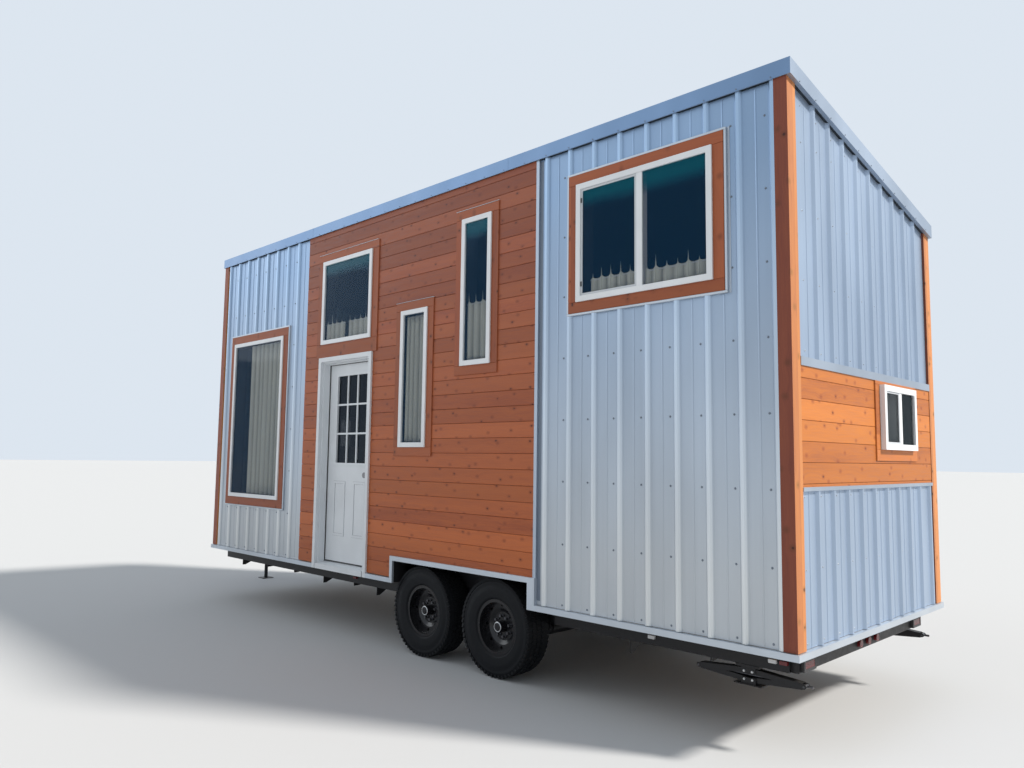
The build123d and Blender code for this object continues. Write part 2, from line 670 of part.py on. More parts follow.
# Ribbed steel roof sheet, ribs running down the slope
with BuildPart() as roof_sheet:
    fall = Vector(0, HOUSE_WIDTH, EAVE_LOW - EAVE_HIGH).normalized()
    high_edge = Vector(REAR_X, -HALF_WIDTH, EAVE_HIGH + ROOF_DECK) + fall * ROOF_SHEET_INSET
    outline = rib_line(0, HOUSE_LENGTH, RIB_PITCH / 2, RIB_PITCH, ROOF_SHEET, RIB_HEIGHT)
    with BuildSketch(Plane(origin=high_edge, x_dir=(-1, 0, 0), z_dir=fall)):
        with BuildLine():
            Polyline(*outline, (HOUSE_LENGTH, 0), (0, 0), close=True)
        make_face()
    extrude(amount=(Vector(0, HOUSE_WIDTH, EAVE_LOW - EAVE_HIGH)).length - 2 * ROOF_SHEET_INSET)
save(roof_sheet, "roof_sheet")

# Fascia: folded metal round all four edges of the roof
with BuildPart() as fascia:
    edge = HALF_WIDTH + FASCIA_SIDE
    for side in (-1, 1):
        low = roof_under(side * HALF_WIDTH) - FASCIA_LAP
        side_block(side, 0, HOUSE_LENGTH, -FASCIA_SIDE, 0, low, low + FASCIA_HEIGHT)
    for x0 in (FRONT_X - FASCIA_END, REAR_X):
        with BuildSketch(Plane.YZ.offset(x0)):
            with BuildLine():
                Polyline(
                    (-edge, roof_under(-HALF_WIDTH) - FASCIA_LAP), (-HALF_WIDTH, roof_under(-HALF_WIDTH) - FASCIA_LAP),
                    (HALF_WIDTH, roof_under(HALF_WIDTH) - FASCIA_LAP), (edge, roof_under(HALF_WIDTH) - FASCIA_LAP),
                    (edge, roof_under(HALF_WIDTH) - FASCIA_LAP + FASCIA_HEIGHT),
                    (HALF_WIDTH, roof_under(HALF_WIDTH) - FASCIA_LAP + FASCIA_HEIGHT),
                    (-HALF_WIDTH, roof_under(-HALF_WIDTH) - FASCIA_LAP + FASCIA_HEIGHT),
                    (-edge, roof_under(-HALF_WIDTH) - FASCIA_LAP + FASCIA_HEIGHT), close=True,
                )
            make_face()
        extrude(amount=FASCIA_END)
save(fascia, "fascia")


def ribbed_side(side, start, stop, first_rib):
    """Ribbed steel on a long wall between two distances ahead of the rear, up to the roof."""
    outline = rib_line(start, stop, first_rib, SIDE_RIB_PITCH, HALF_WIDTH - RIB_HEIGHT, RIB_HEIGHT)
    with BuildSketch(Plane.XY.offset(CLADDING_BOTTOM)) as profile:
        with BuildLine():
            points = [(along(d), side * y) for d, y in outline]
            Polyline(*points, (along(stop), side * WALL_OUT), (along(start), side * WALL_OUT), close=True)
        make_face()
    extrude(profile.sketch, amount=EAVE_HIGH - CLADDING_BOTTOM + ROOF_LAP)


def ribbed_end(end, bottom, top, first_rib):
    """Ribbed steel on an end wall between two heights."""
    reach = HALF_WIDTH - POST_END
    face = HOUSE_LENGTH / 2
    middle = (REAR_X + FRONT_X) / 2
    outline = rib_line(-reach, reach, first_rib - HALF_WIDTH, RIB_PITCH, face - RIB_HEIGHT, RIB_HEIGHT)
    back = face - CLADDING_DEPTH
    with BuildSketch(Plane.XY.offset(bottom)) as profile:
        with BuildLine():
            points = [(middle + end * x, y) for y, x in outline]
            Polyline(*points, (middle + end * back, reach), (middle + end * back, -reach), close=True)
        make_face()
    extrude(profile.sketch, amount=top - bottom)


# Ribbed steel on both long sides, either side of the boards
with BuildPart() as side_metal:
    for side in (-1, 1):
        ribbed_side(side, POST_SIDE, BOARDS_FROM - METAL_TRIM_WIDTH, SIDE_RIB_REAR)
        ribbed_side(side, BOARDS_TO, HOUSE_LENGTH - POST_SIDE, BOARDS_TO + SIDE_RIB_AFTER)
        opening(side, FRONT_WINDOW, FRONT_TRIM)
    opening(-1, LOFT_WINDOW, WINDOW_TRIM)
    opening(1, FAR_LOFT_WINDOW, WINDOW_TRIM)
    cut_above_roof(FASCIA_LAP)
save(side_metal, "side_metal")

# Stained boards in the middle of each long side
BOARD_DEPTH = CLADDING_DEPTH - BOARD_THICKNESS
with BuildPart() as side_boards:
    for side in (-1, 1):
        side_block(side, BOARDS_FROM, BOARDS_TO, BOARD_DEPTH, CLADDING_DEPTH, CLADDING_BOTTOM, EAVE_HIGH + ROOF_LAP)
        side_block(
            side, BOARDS_FROM, WELL[1] + WELL_SIDE, OUTSIDE, THROUGH, 0, above(WELL_OPENING_TOP + FLASHING_HEIGHT),
            Mode.SUBTRACT,
        )
    for window in (HIGH_WINDOW, TALL_WINDOW):
        opening(-1, window, WINDOW_TRIM)
    side_block(
        -1, DOORWAY[0] - TRIM_OVER_DOOR, DOORWAY[1] + TRIM_OVER_DOOR, OUTSIDE, THROUGH, above(DOORWAY_TOP),
        above(DOOR_WINDOW[3]) + WINDOW_TRIM, Mode.SUBTRACT,
    )
    side_block(-1, *DOORWAY, OUTSIDE, THROUGH, 0, above(DOORWAY_TOP), Mode.SUBTRACT)
    cut_above_roof(FASCIA_LAP)
save(side_boards, "side_boards")

# Ribbed steel on the end walls, above and below the band of boards
with BuildPart() as end_metal:
    for end in ENDS:
        ribbed_end(end, CLADDING_BOTTOM, above(BAND_BOTTOM) - BAND_FLASHING, END_RIB_LOWER)
        ribbed_end(end, above(BAND_TOP), EAVE_HIGH + ROOF_LAP, END_RIB_UPPER)
    cut_above_roof(FASCIA_LAP)
save(end_metal, "end_metal")

with BuildPart() as end_boards:
    for end in ENDS:
        end_block(
            end, POST_END - HALF_WIDTH, HALF_WIDTH - POST_END, BOARD_DEPTH, CLADDING_DEPTH, above(BAND_BOTTOM),
            above(BAND_TOP) - BAND_CAP,
        )
        end_opening(end, END_WINDOW, WINDOW_TRIM)
        end_block(
            end, END_WINDOW[0] - HALF_WIDTH - WINDOW_TRIM, END_WINDOW[1] - HALF_WIDTH + WINDOW_TRIM, OUTSIDE, THROUGH,
            above(END_WINDOW[2]), above(BAND_TOP), Mode.SUBTRACT,
        )
save(end_boards, "end_boards")

# Corner posts of stained timber
with BuildPart() as corner_posts:
    for end in ENDS:
        for side in (-1, 1):
            corner_x = REAR_X if end == 1 else FRONT_X
            with BuildSketch(Plane.XY.offset(CLADDING_BOTTOM)):
                with BuildLine():
                    y0 = side * HALF_WIDTH
                    y1 = side * WALL_OUT
                    Polyline(
                        (corner_x, y0), (corner_x - end * POST_SIDE, y0), (corner_x - end * POST_SIDE, y1),
                        (corner_x - end * CLADDING_DEPTH, y1),
                        (corner_x - end * CLADDING_DEPTH, y0 - side * POST_END),
                        (corner_x, y0 - side * POST_END), close=True,
                    )
                make_face()
            extrude(amount=EAVE_HIGH - CLADDING_BOTTOM + ROOF_LAP)
    cut_above_roof(FASCIA_LAP)
save(corner_posts, "corner_posts")


def side_ring(side, window, outer, inner, depth0, depth1):
    """A frame round a window in a long wall, from outer to inner growth of the window's outline."""
    d0, d1, h0, h1 = window
    plane = Plane.XZ.offset(-side * (HALF_WIDTH - depth0))
    middle = (along((d0 + d1) / 2), above((h0 + h1) / 2))
    with BuildSketch(plane) as profile:
        with Locations(middle):
            Rectangle(d1 - d0 + 2 * outer, h1 - h0 + 2 * outer)
            Rectangle(d1 - d0 + 2 * inner, h1 - h0 + 2 * inner, mode=Mode.SUBTRACT)
    extrude(profile.sketch, amount=side * (depth1 - depth0))


def end_ring(end, window, outer, inner, depth0, depth1):
    """The same frame in an end wall."""
    y0, y1, h0, h1 = window
    face = (REAR_X + FRONT_X) / 2 + end * (HOUSE_LENGTH / 2 - depth0)
    with BuildSketch(Plane.YZ.offset(face)) as profile:
        with Locations(((y0 + y1) / 2 - HALF_WIDTH, above((h0 + h1) / 2))):
            Rectangle(y1 - y0 + 2 * outer, h1 - h0 + 2 * outer)
            Rectangle(y1 - y0 + 2 * inner, h1 - h0 + 2 * inner, mode=Mode.SUBTRACT)
    extrude(profile.sketch, amount=-end * (depth1 - depth0))


# Stained board trim round every window
with BuildPart() as window_trims:
    for side, window in SIDE_WINDOWS:
        if window != DOOR_WINDOW:
            side_ring(side, window, trim_of(window), 0, -TRIM_PROUD, CLADDING_DEPTH)
    d0, d1, h0, h1 = DOOR_WINDOW
    side_block(
        -1, DOORWAY[0] - TRIM_OVER_DOOR, DOORWAY[1] + TRIM_OVER_DOOR, -TRIM_PROUD, CLADDING_DEPTH,
        above(DOORWAY_TOP), above(h1) + WINDOW_TRIM,
    )
    opening(-1, DOOR_WINDOW)
    for end in ENDS:
        end_ring(end, END_WINDOW, WINDOW_TRIM, 0, -TRIM_PROUD, CLADDING_DEPTH)
        end_block(
            end, -HALF_WIDTH, HALF_WIDTH, OUTSIDE, -OUTSIDE, above(BAND_TOP) - BAND_CAP, above(BAND_TOP) + WINDOW_TRIM,
            Mode.SUBTRACT,
        )
save(window_trims, "window_trims")

# White window frames, with the meeting stile of the sliding ones
with BuildPart() as window_frames:
    for side, window in SIDE_WINDOWS:
        side_ring(side, window, 0, -FRAME_FACE, -FRAME_PROUD, FRAME_INSIDE)
        if window in SLIDERS:
            centre = (window[0] + window[1]) / 2
            side_block(
                side, centre - STILE_WIDTH / 2, centre + STILE_WIDTH / 2, STILE_BEHIND - FRAME_PROUD, FRAME_INSIDE - 10,
                above(window[2]) + FRAME_FACE, above(window[3]) - FRAME_FACE,
            )
    for end in ENDS:
        end_ring(end, END_WINDOW, 0, -FRAME_FACE, -REAR_WINDOW_PROUD, FRAME_INSIDE)
        centre = (END_WINDOW[0] + END_WINDOW[1]) / 2 - HALF_WIDTH
        end_block(
            end, centre - STILE_WIDTH / 2, centre + STILE_WIDTH / 2, STILE_BEHIND - REAR_WINDOW_PROUD,
            FRAME_INSIDE - 10,
            above(END_WINDOW[2]) + FRAME_FACE, above(END_WINDOW[3]) - FRAME_FACE,
        )
save(window_frames, "window_frames")

# Glass, a little behind the face of the frames
with BuildPart() as window_glass:
    pane = GLASS_BEHIND - FRAME_PROUD
    end_pane = GLASS_BEHIND - REAR_WINDOW_PROUD
    for side, window in SIDE_WINDOWS:
        d0, d1, h0, h1 = window
        panes = [(d0 + FRAME_FACE, d1 - FRAME_FACE)]
        if window in SLIDERS:
            middle = (d0 + d1) / 2
            panes = [(d0 + FRAME_FACE, middle - STILE_WIDTH / 2), (middle + STILE_WIDTH / 2, d1 - FRAME_FACE)]
        for start, stop in panes:
            side_block(
                side, start, stop, pane, pane + GLASS_THICKNESS, above(h0) + FRAME_FACE, above(h1) - FRAME_FACE
            )
    y0, y1, h0, h1 = END_WINDOW
    middle = (y0 + y1) / 2
    for end in ENDS:
        for start, stop in ((y0 + FRAME_FACE, middle - STILE_WIDTH / 2), (middle + STILE_WIDTH / 2, y1 - FRAME_FACE)):
            end_block(
                end, start - HALF_WIDTH, stop - HALF_WIDTH, end_pane, end_pane + GLASS_THICKNESS,
                above(h0) + FRAME_FACE, above(h1) - FRAME_FACE,
            )
save(window_glass, "window_glass")

# Door frame: casing outside, jambs and head through the wall, stops, sill, and the fixed hinge leaves
DOOR_LEFT = ROUGH[1] - JAMB_THICKNESS - DOOR_GAP
DOOR_RIGHT = ROUGH[0] + JAMB_THICKNESS + DOOR_GAP
DOOR_FACE = CLADDING_DEPTH + STUD_WALL - DOOR_THICKNESS
DOOR_BOTTOM = SILL_HEIGHT + DOOR_GAP
DOOR_TOP = ROUGH_TOP - JAMB_THICKNESS - DOOR_GAP
HINGE_X = along(DOOR_LEFT + DOOR_GAP / 2)
HINGE_Y = HINGE_RADIUS + 1 - WALL_IN
HINGE_HEIGHTS = (DOOR_BOTTOM + 260, (DOOR_BOTTOM + DOOR_TOP) / 2, DOOR_TOP - 180)
with BuildPart() as door_frame:
    inside = CLADDING_DEPTH + STUD_WALL
    side_block(-1, *DOORWAY, -CASING_PROUD, CLADDING_DEPTH, DECK_UNDERSIDE, above(DOORWAY_TOP))
    side_block(
        -1, DOORWAY[0] + CASING_WIDTH, DOORWAY[1] - CASING_WIDTH, -CASING_PROUD, CLADDING_DEPTH,
        0, above(DOORWAY_TOP) - CASING_WIDTH, Mode.SUBTRACT,
    )
    side_block(-1, *ROUGH, CLADDING_DEPTH, inside, FLOOR_TOP, above(ROUGH_TOP))
    side_block(
        -1, ROUGH[0] + JAMB_THICKNESS, ROUGH[1] - JAMB_THICKNESS, CLADDING_DEPTH, inside, 0,
        above(ROUGH_TOP) - JAMB_THICKNESS, Mode.SUBTRACT,
    )
    for d0, d1 in (
        (ROUGH[0] + JAMB_THICKNESS, ROUGH[0] + JAMB_THICKNESS + DOOR_STOP),
        (ROUGH[1] - JAMB_THICKNESS - DOOR_STOP, ROUGH[1] - JAMB_THICKNESS),
    ):
        side_block(
            -1, d0, d1, DOOR_FACE - 14, DOOR_FACE - RUNNING_GAP, above(SILL_HEIGHT),
            above(ROUGH_TOP) - JAMB_THICKNESS,
        )
    side_block(
        -1, ROUGH[0] + JAMB_THICKNESS, ROUGH[1] - JAMB_THICKNESS, DOOR_FACE - 14, DOOR_FACE - RUNNING_GAP,
        above(ROUGH_TOP) - JAMB_THICKNESS - DOOR_STOP, above(ROUGH_TOP) - JAMB_THICKNESS,
    )
    with BuildSketch(Plane.YZ.offset(along(ROUGH[1] - JAMB_THICKNESS))):
        with BuildLine():
            Polyline(
                (-HALF_WIDTH - SILL_PROUD, DECK_UNDERSIDE), (-WALL_OUT, DECK_UNDERSIDE), (-WALL_OUT, FLOOR_TOP),
                (-WALL_IN, FLOOR_TOP), (-WALL_IN, above(SILL_HEIGHT)),
                (DOOR_FACE - HALF_WIDTH, above(SILL_HEIGHT)), (-HALF_WIDTH - SILL_PROUD, above(SILL_FRONT)),
                close=True,
            )
        make_face()
    extrude(amount=ROUGH[1] - ROUGH[0] - 2 * JAMB_THICKNESS)
    for height in HINGE_HEIGHTS:
        block(
            HINGE_X - HINGE_LEAF, HINGE_X + 1, -WALL_IN, -WALL_IN + HINGE_PLATE, above(height) - HINGE_HALF,
            above(height) + HINGE_HALF,
        )
        with BuildSketch(Plane.XY.offset(above(height) - HINGE_HALF)):
            with Locations((HINGE_X, HINGE_Y)):
                Circle(HINGE_RADIUS)
        extrude(amount=2 * HINGE_HALF)
save(door_frame, "door_frame")

# Door leaf: a slab with a divided light above two raised panels
with BuildPart() as door_leaf:
    side_block(-1, DOOR_RIGHT, DOOR_LEFT, DOOR_FACE, inside, above(DOOR_BOTTOM), above(DOOR_TOP))
    light_start = DOOR_LEFT - DOOR_LIGHT[1]
    light_stop = DOOR_LEFT - DOOR_LIGHT[0]
    light_low = above(DOOR_LIGHT[2])
    light_high = above(DOOR_LIGHT[3])
    side_block(
        -1, light_start - LITE_FRAME, light_stop + LITE_FRAME, DOOR_FACE - LITE_PROUD, DOOR_FACE,
        light_low - LITE_FRAME, light_high + LITE_FRAME,
    )
    side_block(-1, light_start, light_stop, OUTSIDE, THROUGH, light_low, light_high, Mode.SUBTRACT)
    for n in (1, 2):
        across = light_start + (light_stop - light_start) * n / 3
        upright = light_low + (light_high - light_low) * n / 3
        side_block(
            -1, across - MUNTIN / 2, across + MUNTIN / 2, DOOR_FACE, DOOR_FACE + 12, light_low, light_high
        )
        side_block(
            -1, light_start, light_stop, DOOR_FACE, DOOR_FACE + 12, upright - MUNTIN / 2, upright + MUNTIN / 2
        )
    for d0, d1 in DOOR_PANELS:
        side_ring(
            -1, (DOOR_LEFT - d1, DOOR_LEFT - d0, *PANEL_HEIGHTS), 0, -PANEL_MOULD, DOOR_FACE - PANEL_PROUD, DOOR_FACE
        )
save(door_leaf, "door_leaf")

with BuildPart() as door_glass:
    side_block(
        -1, light_start, light_stop, DOOR_FACE + 12 + RUNNING_GAP, DOOR_FACE + 18, light_low, light_high
    )
save(door_glass, "door_glass")

# Knob and deadbolt, inside and out
with BuildPart() as door_hardware:
    knob_x = along(DOOR_RIGHT + LATCH_INSET)
    for height, profile in ((KNOB_HEIGHT, KNOB_PROFILE), (BOLT_HEIGHT, BOLT_PROFILE)):
        for face, turn in ((-HALF_WIDTH + DOOR_FACE, -1), (-WALL_IN, 1)):
            stack = 0.0
            for length, radius in profile:
                with BuildSketch(Plane.XZ.offset(-(face + turn * stack))):
                    with Locations((knob_x, above(height))):
                        Circle(radius)
                extrude(amount=-turn * length)
                stack += length
save(door_hardware, "door_hardware")

# Base flashing: a folded strip round the foot of the walls, stepped over the wheels
with BuildPart() as base_flashing:
    out = HALF_WIDTH + FLASHING_PROUD
    end_out = HOUSE_LENGTH / 2 + FLASHING_PROUD
    middle = (REAR_X + FRONT_X) / 2
    top = DECK_UNDERSIDE + FLASHING_HEIGHT
    block(middle - end_out, middle + end_out, -out, out, DECK_UNDERSIDE, top)
    block(
        middle - end_out + FLASHING_SHEET, middle + end_out - FLASHING_SHEET, -out + FLASHING_SHEET,
        out - FLASHING_SHEET, DECK_UNDERSIDE + FLASHING_SHEET, top - FLASHING_SHEET, Mode.SUBTRACT,
    )
    block(
        middle - HOUSE_LENGTH / 2 + CLADDING_DEPTH, middle + HOUSE_LENGTH / 2 - CLADDING_DEPTH, -WALL_OUT,
        WALL_OUT, DECK_UNDERSIDE, top, Mode.SUBTRACT,
    )
    side_block(-1, *DOORWAY, OUTSIDE, -OUTSIDE, DECK_UNDERSIDE, top, Mode.SUBTRACT)
    for side in (-1, 1):
        low = above(WELL_OPENING_TOP)
        side_block(side, WELL[0] - WELL_RIGHT, WELL[1] + WELL_SIDE, OUTSIDE, -OUTSIDE, 0, top, Mode.SUBTRACT)
        side_block(
            side, WELL[0] - WELL_RIGHT, WELL[1] + WELL_SIDE, -FLASHING_PROUD, CLADDING_DEPTH, low,
            low + FLASHING_HEIGHT,
        )
        side_block(side, WELL[0] - WELL_RIGHT, WELL[0], -FLASHING_PROUD, CLADDING_DEPTH, DECK_UNDERSIDE, low)
        side_block(side, WELL[1], WELL[1] + WELL_SIDE, -FLASHING_PROUD, CLADDING_DEPTH, DECK_UNDERSIDE, low)
save(base_flashing, "base_flashing")

# Metal trims: upright strips beside the boards and cap flashings on the end bands
with BuildPart() as metal_trims:
    for side in (-1, 1):
        side_block(
            side, BOARDS_FROM - METAL_TRIM_WIDTH, BOARDS_FROM, 0, CLADDING_DEPTH,
            above(WELL_OPENING_TOP + FLASHING_HEIGHT), EAVE_HIGH + ROOF_LAP,
        )
    cut_above_roof(FASCIA_LAP)
    for end in ENDS:
        for top, strip in ((above(BAND_BOTTOM), BAND_FLASHING), (above(BAND_TOP), BAND_CAP)):
            end_block(
                end, POST_END - HALF_WIDTH, HALF_WIDTH - POST_END, -BAND_PROUD, CLADDING_DEPTH, top - strip, top,
            )
save(metal_trims, "metal_trims")

# Curtains: plain slabs where the cloth hangs in the window openings
with BuildPart() as curtains:
    for window, share_across, share_up in CURTAINS:
        d0, d1, h0, h1 = window
        stop = d0 + (d1 - d0) * share_across
        top = above(h0) + (h1 - h0) * share_up
        side_block(
            -1, d0 + RUNNING_GAP, min(stop, d1 - RUNNING_GAP), CURTAIN_DEPTH, CURTAIN_DEPTH + CURTAIN_THICKNESS,
            above(h0) + RUNNING_GAP, min(top, above(h1) - RUNNING_GAP),
        )
save(curtains, "curtains")


# Wheels: tyre and steel rim with its hub and drum, four of each
WHEELS = {
    "rear_left": (-1, AXLES[0]), "front_left": (-1, AXLES[1]),
    "rear_right": (1, AXLES[0]), "front_right": (1, AXLES[1]),
}
for name, (side, place) in WHEELS.items():
    centre = Plane(origin=(along(place), side * TYRE_CENTRE_Y, TYRE_RADIUS), x_dir=(1, 0, 0), z_dir=(0, 0, 1))
    half = TYRE_WIDTH / 2
    axle_line = Axis(centre.origin, (0, 1, 0))
    wall = [(RIM_RADIUS + rise, half - step) for rise, step in TYRE_WALL]
    crown = [(TYRE_RADIUS - drop, half - step) for drop, step in TYRE_CROWN]
    with BuildPart() as tyre:
        with BuildSketch(centre):
            with BuildLine():
                Polyline(*wall, *crown, *[(r, -y) for r, y in reversed(wall + crown)], close=True)
            make_face()
        revolve(axis=axle_line)
    save(tyre, f"tyre_{name}")

    with BuildPart() as rim:
        seat = half - TYRE_WALL[0][1] + RUNNING_GAP
        lip = seat + RIM_LIP
        dish = [(RIM_RADIUS - drop, y) for drop, y in DISH]
        dish_back = [(RIM_RADIUS - drop, y) for drop, y in DISH_BACK]
        outline = [
            (RIM_RADIUS + RIM_FLANGE, lip), (RIM_RADIUS + RIM_FLANGE, seat), (RIM_RADIUS - RUNNING_GAP, seat),
            (RIM_RADIUS - RUNNING_GAP, -seat), (RIM_RADIUS + RIM_FLANGE, -seat), (RIM_RADIUS + RIM_FLANGE, -lip),
            (RIM_RADIUS - RIM_SHEET, -lip), *dish_back, (DRUM_RADIUS, 0), (DRUM_RADIUS, -DRUM_WIDTH),
            (SPINDLE_RADIUS + RUNNING_GAP, -DRUM_WIDTH), (SPINDLE_RADIUS + RUNNING_GAP, HUB_BORE), (0, HUB_BORE),
            *HUB_CAP, (HUB_RADIUS, dish[-1][1]), *reversed(dish), (RIM_RADIUS - RIM_SHEET, lip),
        ]
        with BuildSketch(centre):
            with BuildLine():
                Polyline(*[(r, side * y) for r, y in outline], close=True)
            make_face()
        revolve(axis=axle_line)
        with BuildSketch(Plane(origin=centre.origin + Vector(0, side * RIM_SHEET / 4, 0), z_dir=(0, side, 0))):
            with PolarLocations(RIM_RADIUS - HAND_HOLE_CENTRE, HAND_HOLES):
                Circle(HAND_HOLE_RADIUS)
        extrude(amount=4 * RIM_SHEET, mode=Mode.SUBTRACT)
    save(rim, f"wheel_{name}")


# Scissor jacks
JACK_FOLDED_ANGLE = degrees(asin(JACK_FOLDED / 2 / JACK_ARM))
JACK_PIN_Z = FRAME_TOP - SIDE_CHANNEL_DEPTH - JACK_PIN_DROP
JACK_SIDE_Z = JACK_PIN_Z - JACK_FOLDED / 2
JACK_FOOT_Z = JACK_PIN_Z - JACK_FOLDED
JACK_REACH = JACK_ARM * cos(radians(JACK_FOLDED_ANGLE))


def jack_channel(y, pin, far, width, web_side):
    """A folded arm of channel between two pins, its web above (+1) or below (-1), flanges rounded."""
    (px, pz), (fx, fz) = pin, far
    length = JACK_ARM
    angle = degrees(asin((fz - pz) / length))
    if fx < px:
        angle = 180 - angle
    plane = Plane(origin=(px, y + width / 2, pz), x_dir=(cos(radians(angle)), 0, sin(radians(angle))), z_dir=(0, -1, 0))
    lift = web_side if cos(radians(angle)) > 0 else -web_side
    with BuildSketch(plane) as profile:
        with Locations((length / 2, 0)):
            SlotOverall(length + 2 * JACK_ARM_HALF, 2 * JACK_ARM_HALF)
        with Locations((length / 2, lift * (JACK_WEB_AT / 2))):
            Rectangle(length - 2 * JACK_ARM_HALF, JACK_WEB_AT)
        with Locations((0, 0), (length, 0)):
            Circle(JACK_PIN_RADIUS + RUNNING_GAP, mode=Mode.SUBTRACT)
    extrude(profile.sketch, amount=width)
    with BuildSketch(plane.offset(JACK_SHEET)) as hollow:
        with Locations((length / 2, lift * (JACK_WEB_AT - JACK_SHEET) - lift * 2 * JACK_WEB_AT)):
            Rectangle(length + 4 * JACK_ARM_HALF, 4 * JACK_WEB_AT)
    extrude(hollow.sketch, amount=width - 2 * JACK_SHEET, mode=Mode.SUBTRACT)


def jack_trunnion(x, y):
    """The barrel between the arms at a side pivot, with the pin through it that the arms turn on."""
    for half, radius in ((JACK_TRUNNION_HALF, JACK_TRUNNION_RADIUS), (JACK_PIN_HALF, JACK_PIN_RADIUS)):
        with BuildSketch(Plane.XZ.offset(-(y + half))) as profile:
            with Locations((x, JACK_SIDE_Z)):
                Circle(radius)
        extrude(profile.sketch, amount=2 * half)


def jack_tray(centre_x, y, pin_z, up, width, length):
    """The channel that the pins sit in: the mount when up is +1, the foot when it is -1."""
    half = width / 2
    web = pin_z + up * JACK_TRAY_WEB
    with BuildSketch(Plane.YZ.offset(centre_x - length / 2)) as profile:
        with BuildLine():
            Polyline(
                (y - half, pin_z - up * JACK_TRAY_LIP), (y - half, web), (y + half, web),
                (y + half, pin_z - up * JACK_TRAY_LIP), (y + half - JACK_SHEET, pin_z - up * JACK_TRAY_LIP),
                (y + half - JACK_SHEET, web - up * JACK_SHEET), (y - half + JACK_SHEET, web - up * JACK_SHEET),
                (y - half + JACK_SHEET, pin_z - up * JACK_TRAY_LIP), close=True,
            )
        make_face()
    extrude(profile.sketch, amount=length)
    with BuildSketch(Plane.XZ.offset(-(y + half))) as hollow:
        with Locations((centre_x - JACK_PIN_SPREAD, pin_z), (centre_x + JACK_PIN_SPREAD, pin_z)):
            Circle(JACK_PIN_RADIUS)
    extrude(hollow.sketch, amount=width)


JACK_X = along(JACK_CENTRE)
with BuildPart() as jack_mounts:
    for side in (-1, 1):
        y = side * JACK_OFFSET
        jack_tray(JACK_X, y, JACK_PIN_Z, 1, JACK_TOP_WIDTH, 2 * JACK_PIN_SPREAD + 44)
        web = JACK_PIN_Z + JACK_TRAY_WEB
        block(JACK_X - 80, JACK_X + 80, y - 45, y + 45, web, FRAME_TOP - SIDE_CHANNEL_DEPTH)
save(jack_mounts, "jack_mounts")

for side, which in ((-1, "left"), (1, "right")):
    y = side * JACK_OFFSET
    for end, place in ((-1, "front"), (1, "rear")):
        inner_x = JACK_X + end * JACK_PIN_SPREAD
        outer_x = inner_x + end * JACK_REACH
        with BuildPart() as upper_arm:
            jack_channel(y, (inner_x, JACK_PIN_Z), (outer_x, JACK_SIDE_Z), JACK_UPPER_WIDTH, 1)
        save(upper_arm, f"jack_{which}_upper_{place}")
        with BuildPart() as lower_arm:
            jack_channel(y, (inner_x, JACK_FOOT_Z), (outer_x, JACK_SIDE_Z), JACK_LOWER_WIDTH, -1)
        save(lower_arm, f"jack_{which}_lower_{place}")
    with BuildPart() as foot:
        jack_tray(JACK_X, y, JACK_FOOT_Z, -1, JACK_TOP_WIDTH, 2 * JACK_PIN_SPREAD + 44)
        web = JACK_FOOT_Z - JACK_TRAY_WEB
        block(
            JACK_X - JACK_FOOT_LENGTH / 2, JACK_X + JACK_FOOT_LENGTH / 2, y - JACK_FOOT_WIDTH / 2,
            y + JACK_FOOT_WIDTH / 2, web - JACK_FOOT_SHEET, web,
        )
    save(foot, f"jack_{which}_foot")
    with BuildPart() as screw:
        with BuildSketch(Plane.YZ.offset(JACK_X - JACK_PIN_SPREAD - JACK_REACH + JACK_SCREW_BACK)):
            with Locations((y, JACK_SIDE_Z)):
                Circle(JACK_SCREW_RADIUS)
        extrude(amount=2 * (JACK_REACH + JACK_PIN_SPREAD) - JACK_SCREW_BACK + JACK_SCREW_OUT)
        jack_trunnion(JACK_X + JACK_PIN_SPREAD + JACK_REACH, y)
    save(screw, f"jack_{which}_screw")
    with BuildPart() as nut:
        nut_x = JACK_X - JACK_PIN_SPREAD - JACK_REACH
        jack_trunnion(nut_x, y)
        with BuildSketch(Plane.YZ.offset(nut_x - JACK_TRUNNION_RADIUS)):
            with Locations((y, JACK_SIDE_Z)):
                Circle(JACK_SCREW_RADIUS + RUNNING_GAP)
        extrude(amount=2 * JACK_TRUNNION_RADIUS, mode=Mode.SUBTRACT)
    save(nut, f"jack_{which}_nut")
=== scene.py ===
# %% [markdown]
# # A tiny house on wheels
# The solids of the house come ready made, each in its place. This script dresses them: it gives
# every surface its finish and adds boards, ridges, screws, curtains, treads and small fittings.

# %% Load the frame
import json
from math import cos, pi, radians, sin
from random import Random

import bmesh
import bpy
from mathutils import Matrix, Vector

